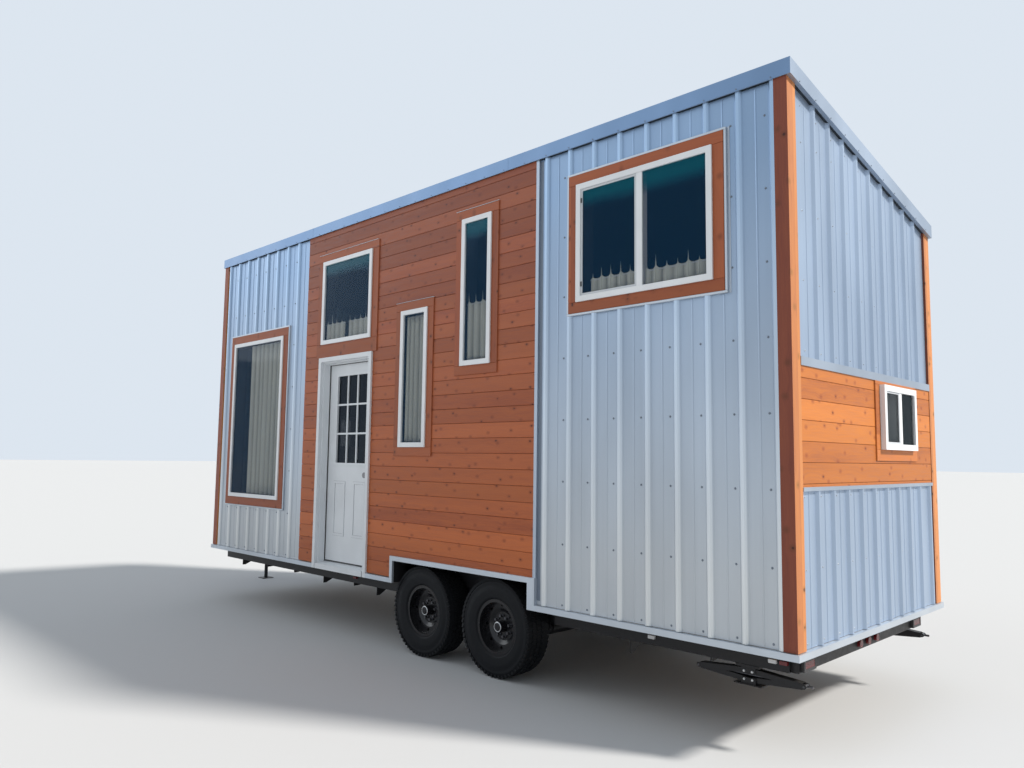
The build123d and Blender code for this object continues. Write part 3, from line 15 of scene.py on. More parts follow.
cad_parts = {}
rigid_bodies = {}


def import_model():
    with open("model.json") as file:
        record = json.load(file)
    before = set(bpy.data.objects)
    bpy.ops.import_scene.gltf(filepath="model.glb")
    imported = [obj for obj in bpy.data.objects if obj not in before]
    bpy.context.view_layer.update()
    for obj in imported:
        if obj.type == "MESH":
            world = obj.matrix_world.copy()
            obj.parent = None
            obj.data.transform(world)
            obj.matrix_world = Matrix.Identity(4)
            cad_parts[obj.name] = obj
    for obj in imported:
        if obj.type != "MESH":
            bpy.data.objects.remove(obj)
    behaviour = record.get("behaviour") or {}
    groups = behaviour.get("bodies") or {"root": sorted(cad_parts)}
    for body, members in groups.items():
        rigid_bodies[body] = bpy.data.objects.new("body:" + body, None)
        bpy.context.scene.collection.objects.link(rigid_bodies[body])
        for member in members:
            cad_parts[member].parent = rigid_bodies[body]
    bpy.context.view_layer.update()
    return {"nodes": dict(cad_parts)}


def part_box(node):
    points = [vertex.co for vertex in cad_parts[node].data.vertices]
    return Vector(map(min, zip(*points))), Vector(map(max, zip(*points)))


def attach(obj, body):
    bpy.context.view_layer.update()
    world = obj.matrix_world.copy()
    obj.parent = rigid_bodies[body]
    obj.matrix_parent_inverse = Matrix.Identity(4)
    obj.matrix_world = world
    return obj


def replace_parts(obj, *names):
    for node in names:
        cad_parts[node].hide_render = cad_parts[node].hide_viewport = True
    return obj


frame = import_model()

nodes = frame["nodes"]

# %% [markdown]
# All places are in metres. A place along the house is a distance ahead of the rear wall, and a
# height is counted from the underside of the deck, because that is how such a house is set out.
# The long side with the door is at -Y, and the rear wall at +X. A window is given by its side, its
# two ends, its sill and its head, the end walls' window and the doorway by ends and heights. The
# flats of the steel lie PAN behind the faces of the corner posts.

# %% Set out the house
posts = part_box("corner_posts")
REAR, FRONT = posts[1].x, posts[0].x
SIDE = posts[1].y
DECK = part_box("floor_deck")[0].z
LENGTH = REAR - FRONT
PAN = 0.018
PAN_FACE = SIDE - PAN
SIDES = (-1, 1)
ENDS = ((REAR, 1), (FRONT, -1))
WINDOWS = {
    "loft": (-1, 0.515, 1.662, 2.302, 3.197),
    "high": (-1, 2.584, 2.951, 1.918, 3.194),
    "tall": (-1, 3.402, 3.785, 1.229, 2.490),
    "over_door": (-1, 4.274, 5.156, 2.300, 3.183),
    "front": (-1, 5.947, 7.107, 0.649, 2.480),
    "far_loft": (1, 0.515, 1.662, 1.660, 2.555),
    "far_front": (1, 5.947, 7.107, 0.649, 2.480),
}
IN_STEEL = ("loft", "front", "far_loft", "far_front")
END_WINDOW = (0.082, 0.736, 1.235, 1.696)
DOORWAY = (4.241, 5.181, 2.159)
BOARDS_START = 2.085


def along(distance):
    return REAR - distance


def above(height):
    return DECK + height


def opening(title, grown=0.0):
    """A window's side and its edges in the frame, grown all round by a margin."""
    side, d0, d1, h0, h1 = WINDOWS[title]
    return side, along(d1 + grown), along(d0 - grown), above(h0 - grown), above(h1 + grown)


def side_box(side, outer, inner, u0, u1, z0, z1):
    """Two corners of a box on a long wall, by two distances from the middle of the house."""
    return (u0, side * outer, z0), (u1, side * inner, z1)


def end_box(x, out, outer, inner, u0, u1, z0, z1):
    """Two corners of a box on an end wall, by two distances outside the posts."""
    return (x + out * outer, u0, z0), (x + out * inner, u1, z1)


print("length of the body:", round(LENGTH, 3), "width:", round(2 * SIDE, 3))

# %% [markdown]
# A few short helpers place objects and build node trees. A node's input takes a value or another
# node's output, so a formula is written from the inside out. A node joins the tree of its inputs.

# %% Helpers for objects and nodes
def new_object(name, data):
    made = bpy.data.objects.new(name, data)
    bpy.context.scene.collection.objects.link(made)
    return made


def add(kind, sockets, **settings):
    """Adds a node: each input is a value, another node's output or a list of such outputs."""
    pairs = [(key, one) for key, value in sockets.items()
             for one in (value if isinstance(value, list) else [value])]
    tree = next(one.id_data for _, one in pairs if isinstance(one, bpy.types.NodeSocket))
    made = tree.nodes.new(kind)
    for key, value in settings.items():
        setattr(made, key, value)
    for key, one in pairs:
        if isinstance(one, bpy.types.NodeSocket):
            tree.links.new(one, made.inputs[key])
        else:
            made.inputs[key].default_value = one
    return made


def wire(kind, sockets, **settings):
    return add(kind, sockets, **settings).outputs[0]


def maths(operation, a, b=0.0, c=0.0):
    return wire("ShaderNodeMath", {0: a, 1: b, 2: c}, operation=operation)


def times(a, b):
    return maths("MULTIPLY", a, b)


def plus(a, b):
    return maths("ADD", a, b)


def split(vector):
    return add("ShaderNodeSeparateXYZ", {0: vector}).outputs


def combine(x=0.0, y=0.0, z=0.0):
    return wire("ShaderNodeCombineXYZ", {0: x, 1: y, 2: z})


# %% [markdown]
# The camera stands beside the rear corner on the door side, a little below the windows, and looks
# up along the long wall. Its place and turn were found from the straight edges of the house.

# %% Place the camera
EYE = (6.5013, -5.7448, 1.7389)
HEADING, TILT, ROLL = 0.78104, 0.09358, 0.01301
FOCUS, PICTURE_WIDTH = 793.14, 1024
camera = new_object("view", bpy.data.cameras.new("view"))
bpy.context.scene.camera = camera
camera.data.sensor_width = 36.0
camera.data.lens = FOCUS / PICTURE_WIDTH * camera.data.sensor_width
look = Vector((-sin(HEADING) * cos(TILT), cos(HEADING) * cos(TILT), sin(TILT)))
right = Vector((cos(HEADING), sin(HEADING), 0))
up = right.cross(look)
right, up = cos(ROLL) * right + sin(ROLL) * up, cos(ROLL) * up - sin(ROLL) * right
turn = Matrix((right, up, -look)).transposed().to_4x4()
camera.matrix_world = Matrix.Translation(EYE) @ turn
print("lens:", round(camera.data.lens, 2), "mm")

# %% [markdown]
# A plain pale floor and soft light: a bright even sky, and one large lamp behind the rear corner
# that leaves the long side in soft shade and lights the rear wall more, as the sun does outdoors.

# %% Light the stage
FLOOR_HALF = 200
floor_mesh = bpy.data.meshes.new("floor")
corners = [(x * FLOOR_HALF, y * FLOOR_HALF, 0) for x, y in ((-1, -1), (1, -1), (1, 1), (-1, 1))]
floor_mesh.from_pydata(corners, [], [(0, 1, 2, 3)])
floor = new_object("floor", floor_mesh)
floor_finish = bpy.data.materials.new("pale floor")
floor_finish.use_nodes = True
matt = floor_finish.node_tree.nodes["Principled BSDF"].inputs
matt["Base Color"].default_value = (0.56, 0.57, 0.58, 1)
matt["Roughness"].default_value = 0.8
floor.data.materials.append(floor_finish)

sky = bpy.data.worlds.new("studio")
bpy.context.scene.world = sky
sky.use_nodes = True
sky_tree = sky.node_tree
lit = sky_tree.nodes["Background"]
lit.inputs["Color"].default_value = (0.88, 0.94, 1.0, 1)
lit.inputs["Strength"].default_value = 0.54
seen = sky_tree.nodes.new("ShaderNodeBackground")
seen.inputs["Color"].default_value = (0.72, 0.79, 0.87, 1)
rays = sky_tree.nodes.new("ShaderNodeLightPath").outputs
direct = maths("MAXIMUM", rays["Is Camera Ray"], rays["Is Glossy Ray"])
direct = maths("MAXIMUM", direct, rays["Is Transmission Ray"])
either = wire("ShaderNodeMixShader", {0: direct, 1: lit.outputs[0], 2: seen.outputs[0]})
sky_tree.links.new(either, sky_tree.nodes["World Output"].inputs["Surface"])

for title, energy, spread, colour, towards in (
    ("key lamp", 4.5, 7, (1.0, 0.95, 0.88), (0.80, 0.46, 0.80)),
    ("fill lamp", 0.5, 35, (0.94, 0.97, 1.0), (-0.85, -0.42, 0.42)),
):
    lamp = new_object(title, bpy.data.lights.new(title, "SUN"))
    lamp.data.energy = energy
    lamp.data.angle = radians(spread)
    lamp.data.color = colour
    lamp.rotation_euler = Vector(towards).to_track_quat("Z", "Y").to_euler()
bpy.context.scene.view_settings.view_transform = "Standard"
print("lamps:", len(bpy.data.lights))

# %% [markdown]
# Every finish is built from a few nodes on the Principled shader. Patterns read Object
# coordinates, which are the same as places in the house, so grain can follow each board.

# %% Helpers for finishes
def new_finish(name, colour, roughness, metallic=0.0):
    """A material, its shader and the place on the object."""
    material = bpy.data.materials.new(name)
    material.use_nodes = True
    shader = material.node_tree.nodes["Principled BSDF"]
    shader.inputs["Base Color"].default_value = (*colour, 1)
    shader.inputs["Roughness"].default_value = roughness
    shader.inputs["Metallic"].default_value = metallic
    return material, shader, material.node_tree.nodes.new("ShaderNodeTexCoord").outputs["Object"]


def coat(shader, colour, roughness=None, alpha=None):
    """Feeds a colour to the shader, and a roughness and an alpha if they are given."""
    for title, value in (("Base Color", colour), ("Roughness", roughness), ("Alpha", alpha)):
        if value is not None:
            value.id_data.links.new(value, shader.inputs[title])


def bump(shader, height, depth):
    made = wire("ShaderNodeBump", {"Height": height, "Distance": depth, "Strength": 1.0})
    made.id_data.links.new(made, shader.inputs["Normal"])


def noise(place, scale, detail, stretch=(1, 1, 1)):
    spread = wire("ShaderNodeMapping", {"Vector": place, "Scale": stretch})
    return add("ShaderNodeTexNoise", {"Vector": spread, "Scale": scale, "Detail": detail}).outputs["Fac"]


def ramp(value, *stops):
    """A colour ramp: stops are (position, colour)."""
    made = add("ShaderNodeValToRGB", {0: value})
    while len(made.color_ramp.elements) < len(stops):
        made.color_ramp.elements.new(0.5)
    for element, (position, colour) in zip(made.color_ramp.elements, stops):
        element.position = position
        element.color = (*colour, 1)
    return made.outputs["Color"]


def steps(value, low, high, out_low=0.0, out_high=1.0):
    """Where a value lies between low and high, as a share from out_low to out_high."""
    ends = {"From Min": low, "From Max": high, "To Min": out_low, "To Max": out_high}
    return wire("ShaderNodeMapRange", {"Value": value, **ends})


def blend_colour(share, a, b, mode="MIX"):
    a, b = (c if isinstance(c, bpy.types.NodeSocket) else (*c, 1) for c in (a, b))
    return add("ShaderNodeMix", {0: share, 6: a, 7: b}, data_type="RGBA", blend_type=mode).outputs[2]


def painted_sky_and_ground(place, colour, low, high):
    """Painted light: tints a colour from low, near the floor, to high, near the roof, as a painted ground
    bounce and a painted reflection of the open sky.
    """
    share = steps(split(place)[2], 1.0, 3.8)
    return blend_colour(1.0, colour, blend_colour(share, low, high), "MULTIPLY")


def facing(socket, axis):
    """How far a face looks along an axis, for the tree of a socket."""
    return split(socket.id_data.nodes.new("ShaderNodeNewGeometry").outputs["Normal"])[axis]


def painted_light_by_facing(axis, colour, tint):
    """Painted light: tints the faces that look along an axis, either way, so that they read as lit or shaded.
    """
    share = steps(maths("ABSOLUTE", facing(colour, axis)), 0.5, 0.8)
    return blend_colour(share, colour, tint, "MULTIPLY")


def paint(finish, *names):
    for name in names:
        for place_of in nodes[name].material_slots:
            place_of.material = finish
    print(finish.name, "on", ", ".join(names))


# %% [markdown]
# The stain on the boards is a reddish brown that turns orange in the light. Cedar has tight grain,
# streaks, and small dark knots, about one or two an arm's length apart on every board. The grain
# runs along a board, so the same tree is built for boards that lie and for posts that stand. Each
# board gets its own number, which shifts its grain and sets its tone.

# %% Stained cedar
BOARD_PITCH, BOARD_START = 0.1257, 0.0466
END_BOARD_PITCH, END_BOARD_START, END_BOARD_FIRST = 0.128, 1.008, 0.88
KNOT_CELL = 0.19


def chance(number):
    return add("ShaderNodeTexWhiteNoise", {"W": number}, noise_dimensions="1D").outputs["Value"]


def stained_cedar(
    name, upright, pitch=BOARD_PITCH, start=BOARD_START, deep=1.0, warm=1.0, few=0.42, painted_end_light=None,
    painted_daylight=False,
):
    """Cedar: deep and warm scale the stain, few thins out the knots; the end tint is painted sunlight on the
    end faces, and the daylight flag adds painted sky and ground light by height.
    """
    def stain(red, green, blue):
        return red * deep, green * deep * warm, blue

    material, shader, place = new_finish(name, (0.3, 0.09, 0.03), 0.5)
    axes = split(place)
    across = plus(axes[0], axes[1])
    run, rise = (axes[2], across) if upright else (across, axes[2])
    board = maths("DIVIDE", maths("SUBTRACT", rise, DECK + start), pitch)
    which = maths("FLOOR", board)
    dice = chance(which)
    shifted = maths("MULTIPLY_ADD", dice, 7.3, run)
    spot = combine(maths("DIVIDE", shifted, KNOT_CELL), board)
    cells = add(
        "ShaderNodeTexVoronoi", {"Vector": spot, "Scale": 1.0, "Randomness": 0.95},
        voronoi_dimensions="2D",
    ).outputs
    ragged = maths("MULTIPLY_ADD", noise(spot, 9.0, 2.0), 0.05, -0.025)
    away = plus(cells["Distance"], ragged)
    pick = split(cells["Color"])[0]
    size = plus(steps(pick, few, 1.0, 0.016, 0.066), 0.001)
    knot = maths("SUBTRACT", 1.0, steps(maths("DIVIDE", away, size), 0.55, 1.1))
    knot = times(knot, maths("GREATER_THAN", pick, few))
    halo = maths("SUBTRACT", 1.0, steps(away, 0.0, 0.42))
    swirl = maths("MULTIPLY_ADD", halo, 0.02, rise)
    grain_place = combine(times(shifted, 0.55), times(swirl, 9.0))
    streak = noise(grain_place, 9.0, 5.0)
    broad = noise(grain_place, 1.6, 2.0)
    tone = plus(times(streak, 0.55), times(broad, 0.45))
    grain = ramp(
        tone, (0.3, stain(0.30, 0.074, 0.030)), (0.5, stain(0.39, 0.102, 0.036)),
        (0.72, stain(0.46, 0.130, 0.042)),
    )
    mixed = blend_colour(steps(dice, 0, 1, 0.0, 0.48), grain, stain(0.50, 0.15, 0.045))
    shade = steps(chance(plus(which, 40.0)), 0, 1, 0.80, 1.08)
    shade = wire("ShaderNodeCombineColor", {0: shade, 1: shade, 2: shade})
    toned = blend_colour(1.0, mixed, shade, "MULTIPLY")
    ring = times(steps(away, 0.16, 0.03), 0.55)
    ringed = blend_colour(ring, toned, (0.17 * deep, 0.036, 0.014))
    wood = blend_colour(times(knot, 0.8), ringed, (0.06 * deep, 0.014 * deep, 0.008))
    # Painted light: a painted sky reflection near the roof and a painted ground bounce near the floor.
    if painted_daylight:
        wood = painted_sky_and_ground(place, wood, (1.15, 1.12, 1.08), (0.78, 0.83, 1.25))
    # Painted light: the faces that look along the house get a painted tint, as sunlit faces.
    if painted_end_light:
        wood = painted_light_by_facing(0, wood, painted_end_light)
    shader.inputs["Specular IOR Level"].default_value = 0.3
    coat(shader, wood, steps(streak, 0.3, 0.7, 0.42, 0.6))
    bump(shader, streak, 0.0009)
    return material


# The side boards carry painted sky and ground light by height.
side_cedar = stained_cedar("stained cedar lying", False, painted_daylight=True)
# The end boards are the same cedar stain made lighter and warmer, as painted sunlight on the ends.
sunlit_end_cedar = stained_cedar(
    "stained cedar on the ends in painted sunlight", False, END_BOARD_PITCH, END_BOARD_START, 1.25, 1.19, 0.70,
)
# The posts' faces that look along the house are painted much lighter, as painted sunlight.
post_cedar = stained_cedar("stained cedar posts", True, 0.2, 0.0, 0.62, 1.0, 0.72, (2.2, 3.1, 2.0))
paint(post_cedar, "corner_posts")

# %% [markdown]
# The ribbed sheets are steel with a pale silver coating. It is smooth, a little cloudy, and slightly
# dented between its ribs, which shows only in its reflections. On the long walls a painted reflection
# of the sky tints it blue near the roof, a painted ground bounce warms it near the floor, and a
# painted highlight brightens its raised ribs. On the fascia the faces to the sides take painted
# shade and sky reflection.

# %% Coated steel
def coated_steel(
    name, colour, roughness=0.38, metallic=0.55, dents=0.0012, streaky=0.4, painted_daylight=False, beside=None,
):
    """Steel: the daylight flag adds painted sky and ground light by height and a painted highlight on the
    raised ribs; beside tints the faces to the sides with painted shade and sky reflection.
    """
    material, shader, place = new_finish(name, colour, roughness, metallic)
    cloud = noise(place, 1.3, 3.0, (1, 1, 0.35))
    streaks = noise(place, 14.0, 2.0, (1, 1, 0.03))
    tone = plus(times(cloud, 1 - streaky), times(streaks, streaky))
    dull = tuple(c * 0.86 for c in colour)
    bright = tuple(min(1, c * 1.12) for c in colour)
    steel = ramp(tone, (0.3, dull), (0.7, bright))
    # Painted light: a painted sky reflection near the roof and a painted ground bounce near the floor.
    if painted_daylight:
        steel = painted_sky_and_ground(place, steel, (1.12, 1.03, 0.93), (0.64, 0.79, 0.96))
        # Painted highlight: the raised ribs, which stand out from the flats, are made brighter.
        out = maths("ABSOLUTE", split(place)[1])
        painted_rib_highlight = steps(out, PAN_FACE + 0.004, PAN_FACE + 0.010)
        steel = blend_colour(painted_rib_highlight, steel, (1.42, 1.38, 1.32), "MULTIPLY")
    # Painted shade and sky reflection on the faces to the sides.
    if beside:
        steel = painted_light_by_facing(1, steel, beside)
    coat(shader, steel, steps(cloud, 0.3, 0.7, roughness - 0.06, roughness + 0.08))
    bump(shader, noise(place, 2.2, 1.0, (1, 1, 0.4)), dents * 10)
    return material


SILVER = (0.42, 0.49, 0.58)
sheet_finish = coated_steel("coated steel sheet", SILVER, streaky=0.2, painted_daylight=True)
# The sheets on the ends are the same steel, given a bluer colour as a painted reflection of the sky.
sky_tinted_end_sheet = coated_steel("coated steel sheet on the ends with painted sky reflection", (0.36, 0.45, 0.58), streaky=0.2)
# The fascia's faces to the sides take painted shade and sky reflection.
fascia_finish = coated_steel(
    "folded steel fascia", (0.34, 0.41, 0.51), 0.42, 0.6, streaky=0.0, beside=(0.55, 0.72, 0.92),
)
trim_finish = coated_steel("pale folded trim", (0.52, 0.57, 0.63), 0.42, 0.6, streaky=0.0)
paint(sheet_finish, "side_metal")
paint(sky_tinted_end_sheet, "end_metal")
paint(coated_steel("coated steel roof sheet", SILVER, streaky=0.2), "roof_sheet")
paint(fascia_finish, "fascia")
paint(trim_finish, "base_flashing")
paint(coated_steel("pale band cap", (0.40, 0.46, 0.54), 0.42, 0.7, streaky=0.0), "metal_trims")

# %% [markdown]
# White vinyl frames and the white painted door are smooth, with faint unevenness in the paint.

# %% White finishes
def smooth_coat(name, colour, roughness):
    material, shader, place = new_finish(name, colour, roughness)
    warm = tuple(c * 0.93 for c in colour)
    coat(shader, ramp(noise(place, 3.0, 3.0), (0.35, warm), (0.65, colour)))
    bump(shader, noise(place, 160.0, 2.0), 0.0004)
    return material


vinyl = smooth_coat("white vinyl", (0.80, 0.82, 0.84), 0.35)
paint(vinyl, "window_frames")
paint(smooth_coat("white door paint", (0.74, 0.77, 0.80), 0.42), "door_frame", "door_leaf")

# %% [markdown]
# Glass is dark from outside, because the room behind it is dim. A partly see-through shader lets
# the curtains show and still reflects the surroundings. Its navy colour is a painted reflection of
# the sky. Near the top of the high windows it turns to a painted blue-green reflection and lets less
# through, and on the end walls the painted reflection is left out, so the glass is nearly black.

# %% Glass
# The teal colour is a painted blue-green reflection near the top of the high windows; the end tint leaves out
# the painted sky reflection, so the end glass is nearly black.
TEAL_REFLECTION, END_TINT = (0.006, 0.105, 0.15), (0.003, 0.012, 0.013)


def dark_glass(name, colour, alpha):
    material, shader, place = new_finish(name, colour, 0.03)
    axes = split(place)
    share = steps(maths("MULTIPLY_ADD", noise(place, 2.5, 2.0), 0.06, axes[2]), 3.62, 3.71)
    on_end = maths("GREATER_THAN", maths("ABSOLUTE", axes[0]), REAR)
    painted_reflection = blend_colour(on_end, blend_colour(share, colour, TEAL_REFLECTION), END_TINT)
    coat(shader, painted_reflection, alpha=steps(share, 0.0, 1.0, alpha, 0.62))
    shader.inputs["Specular IOR Level"].default_value = 0.16
    shader.inputs["Specular Tint"].default_value = (0.16, 0.42, 0.80, 1)
    bump(shader, noise(place, 1.1, 1.0), 0.002)
    return material


# The navy colour of the window glass is a painted reflection of the sky.
paint(dark_glass("window glass", (0.014, 0.058, 0.125), 0.24), "window_glass")
paint(dark_glass("door glass", (0.010, 0.014, 0.020), 0.78), "door_glass")

# %% [markdown]
# The trailer is steel under black chassis paint, a little dusty on its upper faces. The wheels are
# a glossier black. Zinc parts are dull silver.

# %% Trailer paints, rubber and zinc
DUST = (0.16, 0.15, 0.135)
TRAILER = (
    "frame_rails", "crossmembers", "side_channels", "rear_bumper", "tongue_frame", "tongue_jack", "axles",
    "leaf_springs", "wheel_wells", "jack_mounts",
)


def chassis_paint(name, colour, roughness, dust, shine):
    material, shader, place = new_finish(name, colour, roughness)
    shader.inputs["Specular IOR Level"].default_value = shine
    speck = noise(place, 38.0, 4.0)
    lies = times(maths("MAXIMUM", facing(place, 2), 0.12), dust)
    share = times(lies, steps(speck, 0.35, 0.65))
    rough = steps(speck, 0.2, 0.8, roughness - 0.08, roughness + 0.12)
    coat(shader, blend_colour(share, colour, DUST), rough)
    bump(shader, noise(place, 90.0, 3.0), 0.0006)
    return material


black_paint = chassis_paint("black chassis paint", (0.012, 0.012, 0.014), 0.42, 0.25, 0.3)
wheel_paint = chassis_paint("black wheel paint", (0.008, 0.008, 0.010), 0.2, 0.05, 0.45)
rubber = chassis_paint("tyre rubber", (0.008, 0.009, 0.011), 0.6, 0.08, 0.16)
zinc = coated_steel("zinc plate", (0.55, 0.56, 0.57), 0.3, 0.9, 0.0)
black_zinc = coated_steel("dark plated steel", (0.10, 0.10, 0.11), 0.35, 0.8, 0.0)
# The heads on the sheets and the fascia are a dark grey.
screw_zinc = coated_steel("dark screw heads", (0.20, 0.23, 0.27), 0.45, 0.6, 0.0)
tyres = [name for name in nodes if name.startswith("tyre_")]
jacks = [name for name in nodes if name.startswith("jack_") and name not in TRAILER]
turning = [name for name in jacks if name.endswith(("screw", "nut"))]
paint(black_paint, *TRAILER, *jacks)
paint(black_zinc, *turning)
paint(rubber, *tyres)
paint(wheel_paint, *(name for name in nodes if name.startswith("wheel_") and name not in TRAILER))

# %% [markdown]
# Inside, the walls are lined with boards whose dark colour is painted shade of the closed room, of
# which a little shows through the glass. The roof boards are nearly black, painted shade over the
# room and under the fascia.

# %% Linings, deck and small plastic parts
def lining(name, colour):
    material, shader, place = new_finish(name, colour, 0.6)
    groove = steps(maths("PINGPONG", split(place)[2], 0.075), 0.0, 0.006)
    coat(shader, ramp(groove, (0.2, tuple(c * 0.35 for c in colour)), (0.9, colour)))
    bump(shader, noise(place, 30.0, 3.0, (0.1, 0.1, 1)), 0.0008)
    return material


def ply(name, colour):
    material, shader, place = new_finish(name, colour, 0.6)
    grain = noise(place, 24.0, 5.0, (0.1, 1, 1))
    coat(shader, ramp(grain, (0.3, tuple(c * 0.6 for c in colour)), (0.7, colour)))
    bump(shader, grain, 0.0006)
    return material


walls = [name for name in nodes if name.startswith("wall_")]
# The dark colour of the linings is painted shade of the closed room.
paint(lining("lining boards in painted shade", (0.11, 0.14, 0.145)), *walls)
paint(ply("deck boards", (0.42, 0.28, 0.16)), "floor_deck")
# The near black of the roof boards is painted shade over the room and under the fascia.
paint(ply("roof boards in painted shade", (0.018, 0.028, 0.040)), "roof_deck")
paint(coated_steel("dark satin nickel", (0.22, 0.22, 0.23), 0.3, 0.9, 0.0), "door_hardware")
red_lens, shader, place = new_finish("red lens", (0.13, 0.012, 0.015), 0.2)
bump(shader, noise(place, 120.0, 1.0), 0.001)
paint(red_lens, "lights")

# %% [markdown]
# Boards, ribs, screws and tread blocks repeat, so Geometry Nodes make them. Each tree has named
# inputs for its sizes. It is run once on a holder, and what it made is kept as one plain mesh.

# %% Helpers for trees
def new_tree(name, **sizes):
    """The inputs of a new Geometry Nodes tree, one for each size."""
    tree = bpy.data.node_groups.new(name, "GeometryNodeTree")
    tree.interface.new_socket("Geometry", in_out="INPUT", socket_type="NodeSocketGeometry")
    kinds = {int: "NodeSocketInt", float: "NodeSocketFloat", tuple: "NodeSocketVector"}
    for title, value in sizes.items():
        tree.interface.new_socket(title, in_out="INPUT", socket_type=kinds[type(value)]).default_value = value
    tree.interface.new_socket("Geometry", in_out="OUTPUT", socket_type="NodeSocketGeometry")
    return tree.nodes.new("NodeGroupInput").outputs


def moved(geometry, **how):
    return wire("GeometryNodeTransform", {"Geometry": geometry, **how})


def copies(points, form, **how):
    return wire("GeometryNodeInstanceOnPoints", {"Points": points, "Instance": form, **how})


def realized(geometry):
    return wire("GeometryNodeRealizeInstances", {0: geometry})


def aimed(points, title, axis, start=(0.0, 0.0, 0.0), pivot="AUTO"):
    """A turn that points an axis the way that each of the points carries under a title."""
    way = points.id_data.nodes.new("GeometryNodeInputNamedAttribute")
    way.data_type = "FLOAT_VECTOR"
    way.inputs["Name"].default_value = title
    sockets = {"Rotation": start, "Vector": way.outputs["Attribute"]}
    return wire("FunctionNodeAlignRotationToVector", sockets, axis=axis, pivot_axis=pivot)


def close_tree(geometry, finish):
    painted = wire("GeometryNodeSetMaterial", {"Geometry": realized(geometry), "Material": finish})
    tree = painted.id_data
    tree.links.new(painted, tree.nodes.new("NodeGroupOutput").inputs["Geometry"])
    return tree


# %% [markdown]
# Every piece rides on a body, so that it moves with it, and carries its finish. A piece comes from a
# tree, from a list of boxes, or from a profile turned round.

# %% Helpers for pieces
def settle(piece, body):
    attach(piece, body)
    print(piece.name, "faces:", len(piece.data.polygons))
    return piece


def grow(name, tree, holder_mesh, body, slot_name, finish, **sizes):
    """Runs a tree on a mesh and keeps the result as one plain mesh with one finish."""
    piece = new_object(name, holder_mesh)
    modifier = piece.modifiers.new("tree", "NODES")
    modifier.node_group = tree
    for socket in tree.interface.items_tree:
        if socket.in_out == "INPUT" and socket.name in sizes:
            modifier[socket.identifier] = sizes[socket.name]
    mesh = bpy.data.meshes.new_from_object(piece.evaluated_get(bpy.context.evaluated_depsgraph_get()))
    piece.modifiers.clear()
    piece.data = mesh
    settle(piece, body)
    mesh.materials.clear()
    mesh.materials.append(finish)
    return piece


def points_mesh(places, **ways):
    """Loose points that carry named directions, for a tree to set forms on."""
    mesh = bpy.data.meshes.new("points")
    mesh.from_pydata(places, [], [])
    for title, values in ways.items():
        layer = mesh.attributes.new(title, "FLOAT_VECTOR", "POINT")
        for item, value in zip(layer.data, values):
            item.vector = value
    return mesh


def mesh_of(form, finish=None):
    """Keeps a form from bmesh as a mesh, with one finish or none."""
    mesh = bpy.data.meshes.new("form")
    form.to_mesh(mesh)
    form.free()
    if finish:
        mesh.materials.append(finish)
    return mesh


def merged_copy(name):
    """The merged mesh of a solid, with no finish on it, for a tree to work on."""
    form = bmesh.new()
    form.from_mesh(nodes[name].data)
    bmesh.ops.remove_doubles(form, verts=form.verts, dist=1e-6)
    return mesh_of(form)


def box_mesh(boxes, bevel=0.0, finish=None):
    """One mesh of square-edged pieces, each given by two corners, with small bevels."""
    form = bmesh.new()
    for corners in boxes:
        low, high = Vector(map(min, zip(*corners))), Vector(map(max, zip(*corners)))
        place = Matrix.Translation((low + high) / 2) @ Matrix.Diagonal((*(high - low), 1))
        bmesh.ops.create_cube(form, size=1, matrix=place)
    if bevel:
        easing = dict(offset=bevel, segments=1, affect="EDGES", clamp_overlap=True)
        bmesh.ops.bevel(form, geom=form.edges[:], **easing)
    return mesh_of(form, finish)


def build(name, boxes, bevel, finish, body="house"):
    return settle(new_object(name, box_mesh(boxes, bevel, finish)), body)


# %% [markdown]
# The siding is a stack of lapped cedar boards, each with softened edges, so thin dark joints run
# the length of the wall. The tree stacks boards and keeps only what lies inside the plain solid of
# the siding, which already has its windows, doorway and wheel opening cut out.

# %% Siding boards
BOARD_THICK = 0.018
given = new_tree(
    "siding", Pitch=0.1, Joint=0.0018, Thickness=BOARD_THICK, Edge=0.003, Length=1.0, Count=10, First=0.0,
    Apart=1.0, Turn=(0.0, 0.0, 0.0), Place=(0.0, 0.0, 0.0),
)
board_height = maths("SUBTRACT", given["Pitch"], given["Joint"])
section = {"Width": given["Thickness"], "Height": board_height}
outline = wire("GeometryNodeCurvePrimitiveQuadrilateral", section)
easing = {"Curve": outline, "Radius": given["Edge"], "Count": 1}
eased = wire("GeometryNodeFilletCurve", easing, mode="POLY")
half = times(given["Length"], 0.5)
line = wire("GeometryNodeCurvePrimitiveLine", {"Start": combine(times(half, -1.0)), "End": combine(half)})
board = wire("GeometryNodeCurveToMesh", {"Curve": line, "Profile Curve": eased, "Fill Caps": True})
stack = wire("GeometryNodeMeshLine", {
    "Count": given["Count"], "Start Location": combine(z=given["First"]),
    "Offset": combine(z=given["Pitch"]),
})
rows = copies(stack, board)
away = times(given["Apart"], 0.5)
two_walls = [moved(rows, Translation=combine(y=times(away, hand))) for hand in (-1.0, 1.0)]
walls_join = wire("GeometryNodeJoinGeometry", {0: two_walls})
turned = moved(walls_join, Translation=given["Place"], Rotation=given["Turn"])
both = {"Mesh 2": [realized(turned), given["Geometry"]]}
cut = wire("GeometryNodeMeshBoolean", both, operation="INTERSECT", solver="EXACT")
flat = wire("GeometryNodeSetShadeSmooth", {0: cut, "Shade Smooth": False})
siding_tree = close_tree(flat, side_cedar)


